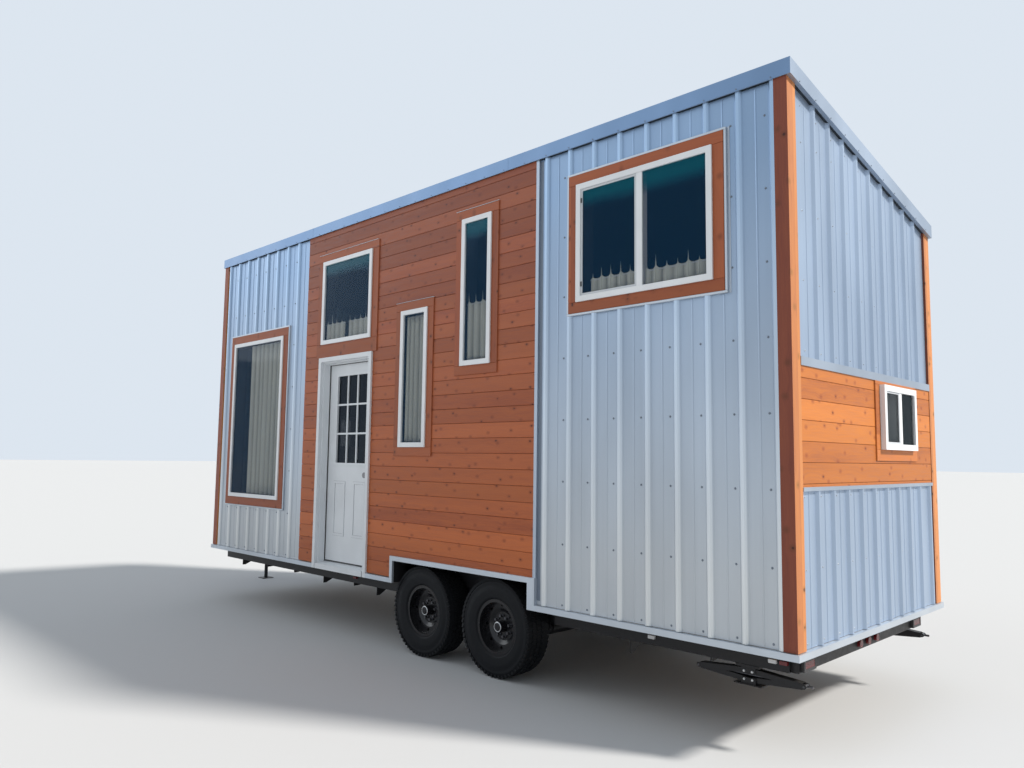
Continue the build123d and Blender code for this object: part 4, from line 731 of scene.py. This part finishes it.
def siding(name, node, finish, pitch, first, turn):
    """Boards on two facing walls, from a first height up, cut to the shape of a solid."""
    low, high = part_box(node)
    size, middle = high - low, (low + high) / 2
    length, apart = (size.y, size.x) if turn else (size.x, size.y)
    made = grow(
        name, siding_tree, merged_copy(node), "house", "stained_wood", finish, Pitch=pitch,
        Length=length + 0.1, Count=int(size.z / pitch) + 2, First=first + pitch / 2,
        Apart=apart - BOARD_THICK, Turn=(0.0, 0.0, turn), Place=(middle.x, middle.y, 0.0),
    )
    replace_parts(made, node)


siding("siding_boards", "side_boards", side_cedar, BOARD_PITCH, above(BOARD_START), 0.0)
siding("end_siding_boards", "end_boards", sunlit_end_cedar, END_BOARD_PITCH, above(END_BOARD_FIRST), pi / 2)

# %% [markdown]
# Flat cedar boards frame each window: one across the top, one across the bottom and two between
# them. They butt together, so their ends show, and their edges are eased a little. Over the door
# they reach down to the doorway, and on the end walls up to the top of the band of boards.

# %% Boards round the windows
TRIM, FRONT_TRIM, OVER_DOOR = 0.080, 0.092, 0.068
TRIM_PROUD, TRIM_BACK, TRIM_GAP, TRIM_EASE = 0.006, 0.0215, 0.0008, 0.002
BAND_TOP = 1.722


def trim_of(title):
    return FRONT_TRIM if "front" in title else TRIM


def frame_boards(u0, u1, z0, z1, left, right, under, over):
    """Two lying and two standing boards round an opening, as (u0, u1, z0, z1)."""
    lying = [(u0 - left, u1 + right, z1, z1 + over), (u0 - left, u1 + right, z0 - under, z0)]
    low, high = z0 + TRIM_GAP, z1 - TRIM_GAP
    return lying, [(u0 - left, u0, low, high), (u1, u1 + right, low, high)]


lying_trims, standing_trims, end_trims = [], [], []
for title, (side, d0, d1, h0, h1) in WINDOWS.items():
    widths = [trim_of(title)] * 4
    if title == "over_door":
        widths = [DOORWAY[1] + OVER_DOOR - d1, d0 + OVER_DOOR - DOORWAY[0], h0 - DOORWAY[2], TRIM]
    kinds = frame_boards(along(d1), along(d0), above(h0), above(h1), *widths)
    for boards, into in zip(kinds, (lying_trims, standing_trims)):
        into += [side_box(side, SIDE + TRIM_PROUD, SIDE - TRIM_BACK, *board) for board in boards]
y0, y1, h0, h1 = END_WINDOW
for x, out in ENDS:
    for boards in frame_boards(y0, y1, above(h0), above(h1), TRIM, TRIM, TRIM, BAND_TOP - h1):
        end_trims += [end_box(x, out, TRIM_PROUD, -TRIM_BACK, *board) for board in boards]
rail_cedar = stained_cedar("stained cedar rails", False, 0.31, 0.1, 0.82)
stile_cedar = stained_cedar("stained cedar stiles", True, 0.2, 0.0, 0.82)
# The boards round the end windows are made lighter and warmer than the side rails, as painted sunlight on the
# ends.
sunlit_end_trim_cedar = stained_cedar("stained cedar round end windows in painted sunlight", False, 0.31, 0.1, 1.12, 1.16, 0.8)
rails = build("window_rails", lying_trims, TRIM_EASE, rail_cedar)
build("window_stiles", standing_trims, TRIM_EASE, stile_cedar)
build("end_window_boards", end_trims, TRIM_EASE, sunlit_end_trim_cedar)
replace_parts(rails, "window_trims")

# %% [markdown]
# One tree sets any head on its washer. It reads where each stands and which way it faces from the
# points of its holder.

# %% Heads of screws and nuts
given = new_tree("head", Radius=0.0045, Height=0.005, Washer=0.0075, Plate=0.0014, Sides=6)
nut = wire("GeometryNodeMeshCylinder", {
    "Vertices": given["Sides"], "Radius": given["Radius"], "Depth": given["Height"],
})
lift = plus(times(given["Height"], 0.5), given["Plate"])
nut = moved(nut, Translation=combine(z=lift))
plate = wire("GeometryNodeMeshCone", {
    "Vertices": 10, "Radius Top": times(given["Washer"], 0.8),
    "Radius Bottom": given["Washer"], "Depth": given["Plate"],
})
both = wire("GeometryNodeJoinGeometry", {0: [nut, plate]})
set_heads = copies(given["Geometry"], both, Rotation=aimed(given["Geometry"], "facing", "Z"))
head_tree = close_tree(set_heads, zinc)


def heads(name, spots, finish, body="house", **sizes):
    """Heads at (place, direction) spots."""
    holder = points_mesh([place for place, _ in spots], facing=[way for _, way in spots])
    return grow(name, head_tree, holder, body, "galvanised", finish, **sizes)


# %% [markdown]
# Screws with washers hold the steel sheets, one beside each rib in level rows, but for the windows
# and their boards. On the ends the highest row follows the fall of the roof.

# %% Screws in the steel
BESIDE, KEEP_OUT = 0.057, 0.115
ROOF_FALL, HIGHEST_ROW = 0.1937, 3.42
SIDE_PITCH, END_PITCH = 0.235, 0.2286
REAR_RIB, FRONT_RIB, UPPER_RIB, LOWER_RIB = 0.100, 5.704, 0.385, 0.338
SCREW_ROWS = (0.072, 0.512, 0.972, 1.430, 1.895, 2.363, 2.826, 3.294)
LOWER_ROWS, UPPER_ROWS = (0.072, 0.5, 0.93), (1.82, 2.26, 2.70, 3.14)
FASCIA_FOOT, SCREW_UP = 4.101, 0.012


def beside_window(side, d, h):
    """Whether a spot on a long wall is under a window or its boards."""
    return any(
        side == s and d0 - KEEP_OUT < d < d1 + KEEP_OUT and h0 - KEEP_OUT < h < h1 + KEEP_OUT
        for s, d0, d1, h0, h1 in WINDOWS.values()
    )


spots = []
for side, top in ((-1, 3.45), (1, 2.95)):
    for d, last in ((REAR_RIB + BESIDE, BOARDS_START - 0.1), (FRONT_RIB + BESIDE, LENGTH - 0.1)):
        while d < last:
            rows = [h for h in SCREW_ROWS if h < top and not beside_window(side, d, h)]
            spots += [((along(d), side * PAN_FACE, above(h)), (0, side, 0)) for h in rows]
            d += SIDE_PITCH
end_spots = []
for x, out in ENDS:
    for rib, rows in ((LOWER_RIB, LOWER_ROWS), (UPPER_RIB, UPPER_ROWS)):
        for n in range(-1, 9):
            y = -SIDE + rib + BESIDE + n * END_PITCH
            fall = HIGHEST_ROW - ROOF_FALL * (y + SIDE)
            heights = [h for h in rows if h < fall - 0.15] + [fall] * (rib == UPPER_RIB)
            end_spots += [((x - out * PAN, y, above(h)), (out, 0, 0)) for h in heights]
fascia_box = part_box("fascia")
edge_spots = []
for side, low_edge in ((-1, FASCIA_FOOT), (1, fascia_box[0].z)):
    for n in range(int(LENGTH / SIDE_PITCH)):
        place = (along(REAR_RIB + n * SIDE_PITCH), side * fascia_box[1].y, low_edge + SCREW_UP)
        edge_spots.append((place, (0, side, 0)))
for x, out in ((fascia_box[1].x, 1), (fascia_box[0].x, -1)):
    for n in range(11):
        y = -SIDE + 0.12 + n * END_PITCH
        edge_spots.append(((x, y, FASCIA_FOOT + SCREW_UP - ROOF_FALL * (y + SIDE)), (out, 0, 0)))
heads("sheet_screws", spots, screw_zinc, Radius=0.0048, Height=0.0042, Washer=0.0082, Plate=0.0015)
heads("end_sheet_screws", end_spots, zinc, Radius=0.0035, Height=0.0040, Washer=0.0056, Plate=0.0012)
heads("fascia_screws", edge_spots, screw_zinc, Radius=0.0035, Height=0.0030, Washer=0.0048, Plate=0.0010)

# %% [markdown]
# Between two ribs each steel sheet has a small stiffening ridge, pressed into the flat. A row of
# slim prisms makes them, and what would cross a window or the roof is cut away.

# %% Stiffening ridges
SHEET_FOOT, SHEET_HEAD, UPPER_FOOT, UPPER_HEAD = 0.045, 0.964, 1.778, 3.5
RIDGE_FOOT, PAST, ABOVE_ROOF = 0.65, 0.1, 6.0
given = new_tree(
    "ridges", Pitch=0.2, Width=0.014, Height=0.0035, Length=3.0, Count=5, First=(0.0, 0.0, 0.0),
    Step=(1.0, 0.0, 0.0), Turn=(0.0, 0.0, 0.0),
)
prism = wire("GeometryNodeMeshCone", {
    "Vertices": 8, "Radius Top": 0.5, "Radius Bottom": 0.5, "Depth": given["Length"],
})
slim = combine(given["Width"], times(given["Height"], 2.0), 1.0)
prism = moved(moved(prism, Scale=slim), Rotation=given["Turn"])
step = wire("ShaderNodeVectorMath", {0: given["Step"], "Scale": given["Pitch"]}, operation="SCALE")
row = wire("GeometryNodeMeshLine", {
    "Count": given["Count"], "Start Location": given["First"], "Offset": step,
})
both = {"Mesh 1": realized(copies(row, prism)), "Mesh 2": given["Geometry"]}
clear = wire("GeometryNodeMeshBoolean", both, operation="DIFFERENCE", solver="EXACT")
ridge_tree = close_tree(clear, sheet_finish)

holes = []
for title in WINDOWS:
    side, *edges = opening(title, trim_of(title) + 0.02)
    holes.append(side_box(side, 1.3, 1.2, *edges))
for side, hand, top in ((-1, "left", 4.09), (1, "right", 3.60)):
    for part, first in (("rear", REAR_RIB + SIDE_PITCH / 2), ("front", FRONT_RIB - SIDE_PITCH / 2)):
        grow(
            f"ridges_{hand}_{part}", ridge_tree, box_mesh(holes), "house", "sheet_metal", sheet_finish,
            Pitch=SIDE_PITCH, Count=8, Length=top - RIDGE_FOOT, Step=(-1.0, 0.0, 0.0),
            First=(along(first), side * PAN_FACE, RIDGE_FOOT),
        )

over_roof = bpy.data.meshes.new("over the roof")
eaves = [(y, above(3.44 - ROOF_FALL * (y + SIDE))) for y in (-SIDE - PAST, SIDE + PAST)]
section = [*eaves, (SIDE + PAST, ABOVE_ROOF), (-SIDE - PAST, ABOVE_ROOF)]
over_roof.from_pydata(
    [(x, y, z) for x in (FRONT - PAST, REAR + PAST) for y, z in section], [],
    [(3, 2, 1, 0), (4, 5, 6, 7), (0, 1, 5, 4), (1, 2, 6, 5), (2, 3, 7, 6), (3, 0, 4, 7)],
)
for (x, out), end in zip(ENDS, ("rear", "tongue")):
    for part, rib, foot, head in (
        ("lower", LOWER_RIB, SHEET_FOOT, SHEET_HEAD), ("upper", UPPER_RIB, UPPER_FOOT, UPPER_HEAD),
    ):
        grow(
            f"ridges_{end}_{part}", ridge_tree, over_roof, "house", "sheet_metal", sky_tinted_end_sheet,
            Pitch=END_PITCH, Count=9, Length=head - foot, Step=(0.0, 1.0, 0.0), Turn=(0.0, 0.0, pi / 2),
            First=(x - out * PAN, -SIDE + rib - END_PITCH / 2, above(foot)),
        )

# %% [markdown]
# Pleated curtains hang inside five windows, three of them only over the lowest part of the glass.
# Each is one sheet of cloth gathered on a rod: pleats of uneven width, tight at the heading and
# looser below. The wave is a formula, and its length gives the width of the flat cloth.

# %% Curtains
ROD_DEPTH, ROD = SIDE - 0.019, 0.003
PLEAT, FOLD, PEAK, HEM = 0.088, 0.011, 0.115, 0.047
FINE, ROWS = 10, 12


def cloth_finish(name, colour):
    material, shader, place = new_finish(name, colour, 0.85)
    axes = split(place)
    warp, weft = (maths("SINE", times(axes[n], close)) for n, close in ((0, 3400.0), (2, 3000.0)))
    soft = noise(place, 9.0, 3.0, (1, 1, 0.15))
    # Painted shade: the cloth is darker towards the back of each fold.
    behind = steps(axes[1], -ROD_DEPTH + 0.008, -ROD_DEPTH - 0.008)
    fold = plus(times(soft, 0.25), times(behind, 0.75))
    coat(shader, ramp(fold, (0.15, tuple(c * 0.5 for c in colour)), (0.75, colour)))
    shader.inputs["Sheen Weight"].default_value = 0.25
    bump(shader, times(warp, weft), 0.0003)
    return material


linen = cloth_finish("pale linen", (0.96, 0.95, 0.80))


def pleats(d0, d1, pleat, seed):
    """The columns of a curtain: place, width and strength of the pleat, and phase."""
    dice = Random(seed)
    widths = [pleat * dice.uniform(0.8, 1.2) for _ in range(round((d1 - d0) / pleat))]
    widths = [w * (d1 - d0) / sum(widths) for w in widths]
    strength = [dice.uniform(0.55, 1.0) for _ in widths]
    columns, start = [], d0
    for w, power in zip(widths, strength):
        columns += [(start + w * k / FINE, w, power, 2 * pi * k / FINE) for k in range(FINE)]
        start += w
    return [*columns, (d1, widths[-1], strength[-1], 0.0)]


def curtain(name, window, d0, d1, share, seed, pleat=PLEAT):
    """A gathered curtain from d0 to d1 ahead of the rear, over the lowest share of a window."""
    _, _, _, h0, h1 = WINDOWS[window]
    low, high = above(h0) + HEM, above(h0) + (h1 - h0) * share
    columns = pleats(d0, d1, pleat, seed)
    verts, arc = [], 0.0
    for j in range(ROWS + 1):
        v = j / ROWS
        spread = 1.0 - 0.25 * (v ** 3)
        for i, (d, w, power, phase) in enumerate(columns):
            sway = 0.0015 * sin(3.0 * v + 0.9 * i / FINE)
            y = -ROD_DEPTH + FOLD * power * spread * sin(phase) + sway * (1 - v)
            x = along(d + 0.12 * w * sin(2 * phase) * spread)
            peak = PEAK * power ** 2 * max(0.0, -sin(phase)) ** 4 * v ** 6 if share < 0.9 else 0.0
            verts.append((x, y, low + (high - low) * v + peak))
            if j == ROWS // 2 and i:
                arc += (Vector(verts[-1]) - Vector(verts[-2])).length
    n = len(columns)
    corners = [j * n + i for j in range(ROWS) for i in range(n - 1)]
    mesh = bpy.data.meshes.new(name)
    mesh.from_pydata(verts, [], [(a, a + 1, a + n + 1, a + n) for a in corners])
    for face in mesh.polygons:
        face.use_smooth = True
    mesh.materials.append(linen)
    cloth = new_object(name, mesh)
    thick = cloth.modifiers.new("cloth", "SOLIDIFY")
    thick.thickness = 0.0012
    thick.offset = 0.0
    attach(cloth, "house")
    ends = along(d1 + 0.008), along(d0 - 0.008), high - 0.012, high - 0.006
    rod = side_box(-1, ROD_DEPTH + ROD, ROD_DEPTH - ROD, *ends)
    rail = build(name + "_rod", [rod], 0.002, vinyl)
    print(name, "flat width:", round(arc, 3), "height:", round(high - low, 3))
    return cloth


hung = [
    curtain("curtain_loft_rear", "loft", 0.57, 1.06, 0.17, 3),
    curtain("curtain_loft_front", "loft", 1.12, 1.54, 0.18, 4),
    curtain("curtain_high", "high", 2.64, 2.895, 0.42, 5, 0.075),
    curtain("curtain_tall", "tall", 3.458, 3.729, 0.955, 6, 0.068),
    curtain("curtain_over_door_rear", "over_door", 4.33, 4.69, 0.24, 7),
    curtain("curtain_over_door_front", "over_door", 4.76, 5.10, 0.24, 8),
    curtain("curtain_front", "front", 6.003, 6.72, 0.972, 9, 0.102),
]
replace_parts(hung[0], "curtains")

# %% [markdown]
# A trailer tyre has a rounded shoulder, a plain wall with a few raised rings, and blocks of tread.
# The wall is a profile turned about the axle, given by radius and share of half the width. The
# blocks are one small form, set round the tread in lanes with a slight turn.

# %% Tyres
TYRE_R, TREAD_DEEP, AXLE_HEIGHT = 0.391, 0.009, 0.391
TREAD_BASE, BLOCKS_ROUND = TYRE_R - TREAD_DEEP, 58
LANES = ((-0.80, 0.35), (-0.44, -0.25), (0.0, 0.1), (0.44, 0.25), (0.80, -0.35))
WALL = (
    (0.2035, 0.70), (0.2215, 0.70), (0.2235, 0.79), (0.236, 0.872), (0.240, 0.862), (0.262, 0.935),
    (0.265, 0.928), (0.290, 0.992), (0.294, 0.982), (0.318, 0.990), (0.321, 0.978), (0.342, 0.965),
    (0.345, 0.972), (0.360, 0.935), (TREAD_BASE - 0.004, 0.86), (TREAD_BASE, 0.78),
)
given = new_tree("tread", Wide=0.08, Long=0.0362, Deep=0.020)
size = combine(given["Long"], given["Wide"], given["Deep"])
block = wire("GeometryNodeMeshCube", {"Size": size})
aim = aimed(block, "skew", "Y", aimed(block, "facing", "Z"), "Z")
tread_tree = close_tree(copies(given["Geometry"], block, Rotation=aim), rubber)


def wheel_of(tyre):
    """The body that a tyre rides on, its middle and half its width."""
    low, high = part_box(tyre)
    return tyre.replace("tyre", "wheel"), (low + high) / 2, (high.y - low.y) / 2


def lathe(profile, x, z, steps_round, finish):
    """A closed ring turned about an axle: the profile is (radius, y) points, in order round it."""
    verts, faces = [], []
    n = len(profile)
    for k in range(steps_round):
        angle = 2 * pi * k / steps_round
        verts += [(x + r * cos(angle), y, z + r * sin(angle)) for r, y in profile]
        a, b = k * n, ((k + 1) % steps_round) * n
        faces += [(a + i, a + (i + 1) % n, b + (i + 1) % n, b + i) for i in range(n)]
    form = bmesh.new()
    points = [form.verts.new(place) for place in verts]
    for corners in faces:
        form.faces.new([points[i] for i in corners]).smooth = True
    bmesh.ops.recalc_face_normals(form, faces=form.faces)
    return mesh_of(form, finish)


def tread_points(middle, half_width):
    """Where the blocks of the tread stand, which way they face and how they lie."""
    centres, ways, skews = [], [], []
    for lane, (place, tilt) in enumerate(LANES):
        radius = TREAD_BASE - 0.0035 - (0.004 if abs(place) > 0.7 else 0)
        for k in range(BLOCKS_ROUND):
            angle = 2 * pi * (k + 0.5 * (lane % 2)) / BLOCKS_ROUND
            way = Vector((cos(angle), 0, sin(angle)))
            tangent = Vector((-sin(angle), 0, cos(angle)))
            across = middle.y + half_width * place
            centres.append((middle.x + way.x * radius, across, AXLE_HEIGHT + way.z * radius))
            ways.append(way)
            skews.append((Vector((0, 1, 0)) + tilt * tangent).normalized())
    return points_mesh(centres, facing=ways, skew=skews)


for name in tyres:
    body, middle, half_width = wheel_of(name)
    outer = [(r, half_width * w) for r, w in WALL]
    profile = [(r, middle.y + y) for r, y in outer + [(r, -y) for r, y in reversed(outer)]]
    turned = lathe(profile, middle.x, AXLE_HEIGHT, 72, rubber)
    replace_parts(settle(new_object(name + "_carcass", turned), body), name)
    holder = tread_points(middle, half_width)
    grow(name + "_tread", tread_tree, holder, body, "tyre", rubber, Wide=half_width * 0.36)

# %% [markdown]
# Folded strips finish the edges of the steel. A pale channel holds the sheet round the windows that
# stand in steel, a thin drip cap sheds water over the windows in the boards, and the lower edge of
# the fascia turns out a little. They are slim solids with eased edges.

# %% Folded strips
CHANNEL = 0.018
LIP, SEAM_WIDTH, SEAMS_AT = 0.012, 0.045, (2.40, 5.40)
LIPS = ((-1, 4.099, 4.1025), (1, 3.605, 3.6085))
SEAMS = ((-1, 4.1015, 4.2045), (1, 3.6085, 3.7105))
strips, drips = [], []
for title in IN_STEEL:
    side, x0, x1, z0, z1 = opening(title, trim_of(title))
    edges = (
        (x0 - CHANNEL, x1 + CHANNEL, z1, z1 + CHANNEL), (x0 - CHANNEL, x1 + CHANNEL, z0 - CHANNEL, z0),
        (x0 - CHANNEL, x0 - 0.001, z0, z1), (x1 + 0.001, x1 + CHANNEL, z0, z1),
    )
    strips += [side_box(side, SIDE + 0.002, PAN_FACE, *edge) for edge in edges]
for title in ("high", "tall", "over_door"):
    side, x0, x1, _, z1 = opening(title)
    cap = (x0 - TRIM - 0.004, x1 + TRIM + 0.004, z1 + TRIM, z1 + TRIM + 0.0035)
    drips.append(side_box(side, SIDE + 0.009, SIDE - 0.016, *cap))
folds = [side_box(side, SIDE + LIP, SIDE + 0.004, FRONT - 0.002, REAR + 0.002, *edge) for side, *edge in LIPS]
folds += [
    side_box(side, SIDE + 0.0092, SIDE + 0.0075, along(d), along(d + SEAM_WIDTH), *edge)
    for d in SEAMS_AT for side, *edge in SEAMS
]
build("window_channels", strips, 0.0025, trim_finish)
build("drip_caps", drips, 0.001, trim_finish)
build("fascia_edges", folds, 0.0006, fascia_finish)

# %% [markdown]
# The wheels are black steel. Eight nuts ring the hub, a valve stands beside a hand hole, and a
# bright ring shows on the cap of the hub. All of them turn with the wheel.

# %% Nuts, valves and hub rings
NUTS, NUT_CIRCLE, NUT_FACE = 8, 0.082, 0.009
VALVE_CIRCLE, VALVE_FACE, VALVE_AT = 0.150, 0.026, pi * 0.22
HUB_RING = ((0.031, 0.0705), (0.031, 0.0765), (0.036, 0.0775), (0.0405, 0.0765), (0.0405, 0.0705))


def on_wheel(middle, out, radius, angle, face):
    """A spot on the outer face of a wheel, and the way out."""
    place = (middle.x + radius * cos(angle), middle.y + out * face, AXLE_HEIGHT + radius * sin(angle))
    return place, (0, out, 0)


for name in tyres:
    body, middle, _ = wheel_of(name)
    out = 1 if middle.y > 0 else -1
    spots = [on_wheel(middle, out, NUT_CIRCLE, 2 * pi * (k + 0.25) / NUTS, NUT_FACE) for k in range(NUTS)]
    heads(body + "_nuts", spots, black_zinc, body, Radius=0.0115, Height=0.022, Washer=0.016, Plate=0.004)
    ring = lathe([(r, middle.y + out * w) for r, w in HUB_RING], middle.x, AXLE_HEIGHT, 32, zinc)
    settle(new_object(body + "_hub_ring", ring), body)
    valve = [on_wheel(middle, out, VALVE_CIRCLE, VALVE_AT, VALVE_FACE)]
    stem = dict(Radius=0.004, Height=0.034, Washer=0.008, Plate=0.006, Sides=8)
    heads(body + "_valve", valve, black_zinc, body, **stem)

# %% [markdown]
# Small fittings on the windows: the grey frame of each sliding sash with its latches, and thin
# liners of painted shade on the jambs behind the glass.

# %% Window fittings
FACE, STILE, GLASS_FACE, SASH_FACE = 0.042, 0.048, 0.0043, 0.0105
LINER, BEHIND_GLASS, LINING = 0.004, 1.2715, 1.139
fitting = smooth_coat("dark plastic", (0.03, 0.03, 0.032), 0.5)
sash_grey = smooth_coat("grey sash", (0.58, 0.61, 0.64), 0.4)
# The near-black jamb liners are painted shade in the reveals behind the glass.
jamb_shade_paint = smooth_coat("jamb liner in painted shade", (0.035, 0.045, 0.055), 0.5)


def sash(u0, u1, z0, z1, width=0.018):
    """The four bars of a frame inside an opening, as (u0, u1, z0, z1)."""
    return [
        (u0, u1, z1 - width, z1), (u0, u1, z0, z0 + width), (u0, u0 + width, z0 + width, z1 - width),
        (u1 - width, u1, z0 + width, z1 - width),
    ]


bars, latches, jambs = [], [], []
for title in ("loft", "far_loft"):
    side, d0, d1, h0, h1 = WINDOWS[title]
    left, right = along(d1 - FACE), along((d0 + d1) / 2 + STILE / 2)
    pane = sash(left, right, above(h0 + FACE), above(h1 - FACE))
    bars += [side_box(side, SIDE + GLASS_FACE, SIDE + SASH_FACE, *bar) for bar in pane]
    for h in (h0 + 0.13, h1 - 0.13):
        latch = left + 0.002, left + 0.015, above(h) - 0.018, above(h) + 0.018
        latches.append(side_box(side, SIDE + SASH_FACE, SIDE + 0.015, *latch))
for title in WINDOWS:
    side, *edges = opening(title, -FACE)
    jambs += [side_box(side, LINING, BEHIND_GLASS, *bar) for bar in sash(*edges, LINER)]
y0, y1, h0, h1 = END_WINDOW
z0, z1 = above(h0 + FACE), above(h1 - FACE)
for x, out in ENDS:
    pane = sash(y0 + FACE, (y0 + y1) / 2 - STILE / 2, z0, z1, 0.014)
    bars += [end_box(x, out, 0.0263, 0.0325, *bar) for bar in pane]
    jambs += [end_box(x, out, 0.018, -0.13, *bar) for bar in sash(y0 + FACE, y1 - FACE, z0, z1, LINER)]
build("sashes", bars, 0.0015, sash_grey)
build("sash_latches", latches, 0.001, fitting)
build("jamb_shade_liners", jambs, 0.0008, jamb_shade_paint)

# %% [markdown]
# The door closes against a dark seal on three sides. A sweep under the leaf and the painted shadow
# lines round its two lower panels ride on the door, so they swing with it.

# %% Door fittings
STOP_LEFT, STOP_RIGHT, STOP_TOP, SILL = -0.7085, 0.0865, 2.6865, 0.667
LEAF_FACE, SEAL, LINE, PANEL_EDGE = -1.1822, 0.006, 0.0028, 0.0220
PANELS, PANEL_FOOT, PANEL_HEAD = ((-0.5835, -0.3815), (-0.2405, -0.0385)), 0.338, 0.885


def door_box(near, far, u0, u1, z0, z1):
    """Two corners of a box at the door, by two distances inside the face of the leaf."""
    return (u0, LEAF_FACE + near, z0), (u1, LEAF_FACE + far, z1)


seal = [
    door_box(0.0, -0.010, STOP_LEFT, STOP_LEFT + SEAL, SILL, STOP_TOP),
    door_box(0.0, -0.010, STOP_RIGHT - SEAL, STOP_RIGHT, SILL, STOP_TOP),
    door_box(0.0, -0.010, STOP_LEFT + SEAL, STOP_RIGHT - SEAL, STOP_TOP - SEAL, STOP_TOP),
]
lines = []
for u0, u1 in PANELS:
    for grown in (LINE, -PANEL_EDGE):
        pane = sash(u0 - grown, u1 + grown, above(PANEL_FOOT) - grown, above(PANEL_HEAD) + grown, LINE)
        lines += [door_box(0.002, 0.0, *bar) for bar in pane]
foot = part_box("door_leaf")[0].z
sweep = door_box(0.001, -0.002, STOP_LEFT + 0.008, STOP_RIGHT - 0.008, foot + 0.001, foot + 0.012)
# The grey lines round the two lower panels are painted shadow.
shadow_line = smooth_coat("shadow line on white paint", (0.42, 0.44, 0.47), 0.5)
build("door_seal", seal, 0.001, fitting)
build("door_panel_shadow_lines", lines, 0.0003, shadow_line, "door")
build("door_sweep", [sweep], 0.0008, fitting, "door")

# %% [markdown]
# The channel beside the boards, those right of the windows and the last strip of each end wall
# stand off the sheet. Thin strips of painted shade lie on the sheet in the gaps there, darker in the
# deep gaps and lighter in the shallow ones.

# %% Painted shade in the gaps beside the channels
SKIN, LAP = 0.0012, 0.001
GAP, EDGE = 0.012, 0.018
# These two finishes are painted shade: a dark one for the deep gaps and a paler one for the shallow gaps.
deep_gap_painted_shade = coated_steel("painted shade in a deep gap", (0.19, 0.23, 0.29), 0.6, 0.2, 0.0)
shallow_gap_painted_shade = coated_steel("painted shade in a shallow gap", (0.44, 0.51, 0.60), 0.5, 0.3, 0.0)
behind = (along(2.057), along(2.021), above(0.075), above(3.485))
painted_shade_deep_gaps = [side_box(-1, PAN_FACE + SKIN, PAN_FACE - LAP, *behind)]
for x, out in ENDS:
    for low_h, high_h in ((SHEET_FOOT, SHEET_HEAD), (UPPER_FOOT, 3.0)):
        painted_shade_deep_gaps.append(end_box(x, out, SKIN - PAN, -PAN - LAP, 1.149, 1.1628, above(low_h), above(high_h)))
painted_shade_shallow_gaps, channel_edges = [], []
for title in IN_STEEL:
    side, _, right, z0, z1 = opening(title, trim_of(title) + CHANNEL)
    painted_shade_shallow_gaps.append(side_box(side, PAN_FACE + SKIN, PAN_FACE - LAP, right, right + GAP, z0, z1))
    channel_edges.append(side_box(side, PAN_FACE + 0.004, PAN_FACE - LAP, right + GAP, right + EDGE, z0, z1))
build("painted_shade_deep_gaps", painted_shade_deep_gaps, 0.0003, deep_gap_painted_shade)
build("painted_shade_shallow_gaps", painted_shade_shallow_gaps, 0.0003, shallow_gap_painted_shade)
build("channel_edges", channel_edges, 0.0008, trim_finish)

# %% [markdown]
# Last come black liners that close the wheel openings, housings round the lamps, clear covers on
# the side markers, and the heads of the jacks' pins.

# %% Liners, lamps and pins
WELL_FROM, WELL_TO, WELL_TOP, WALL_INSIDE, SHEET = 2.129, 3.822, 0.800, 1.137, 0.002
LAMP, MARKERS_AT = (0.861, 1.029, 0.482, 0.558), (0.226, 1.110)
JACK_AT, PIN_APART = 3.975, 0.0275
PIN = dict(Radius=0.0065, Height=0.004, Washer=0.009, Plate=0.003)
x0, x1, foot = along(WELL_TO), along(WELL_FROM), DECK + 0.001
sheets = (
    (x0, x0 + SHEET, foot, WELL_TOP), (x1 - SHEET, x1, foot, WELL_TOP), (x0, x1, WELL_TOP - SHEET, WELL_TOP),
)
liners = [side_box(side, SIDE - 0.006, WALL_INSIDE, *sheet) for side in SIDES for sheet in sheets]
lamp_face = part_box("lights")[1].x
housings = [
    ((lamp_face - 0.021, side * y0, z0), (lamp_face + 0.002, side * y1, z1))
    for side in SIDES for y0, y1, z0, z1 in sash(*LAMP)
]
covers = [
    side_box(side, 1.0753, 1.0968, along(d - 0.001), along(d + 0.051), 0.519, 0.543)
    for side in SIDES for d in MARKERS_AT
]
build("wheel_opening_liners", liners, 0.0004, black_paint)
build("lamp_housings", housings, 0.001, fitting)
build("clear_markers", covers, 0.002, smooth_coat("clear lens", (0.62, 0.64, 0.66), 0.15))


def jack_pins(side, out, height):
    return [((JACK_AT + aside, side * out, height), (0, side, 0)) for aside in (-PIN_APART, PIN_APART)]


heads("jack_pin_heads", [pin for side in SIDES for pin in jack_pins(side, 1.068, 0.434)], zinc, **PIN)
for side, hand in zip(SIDES, ("left", "right")):
    heads(f"jack_{hand}_foot_pins", jack_pins(side, 1.066, 0.384), zinc, f"jack_{hand}_foot", **PIN)
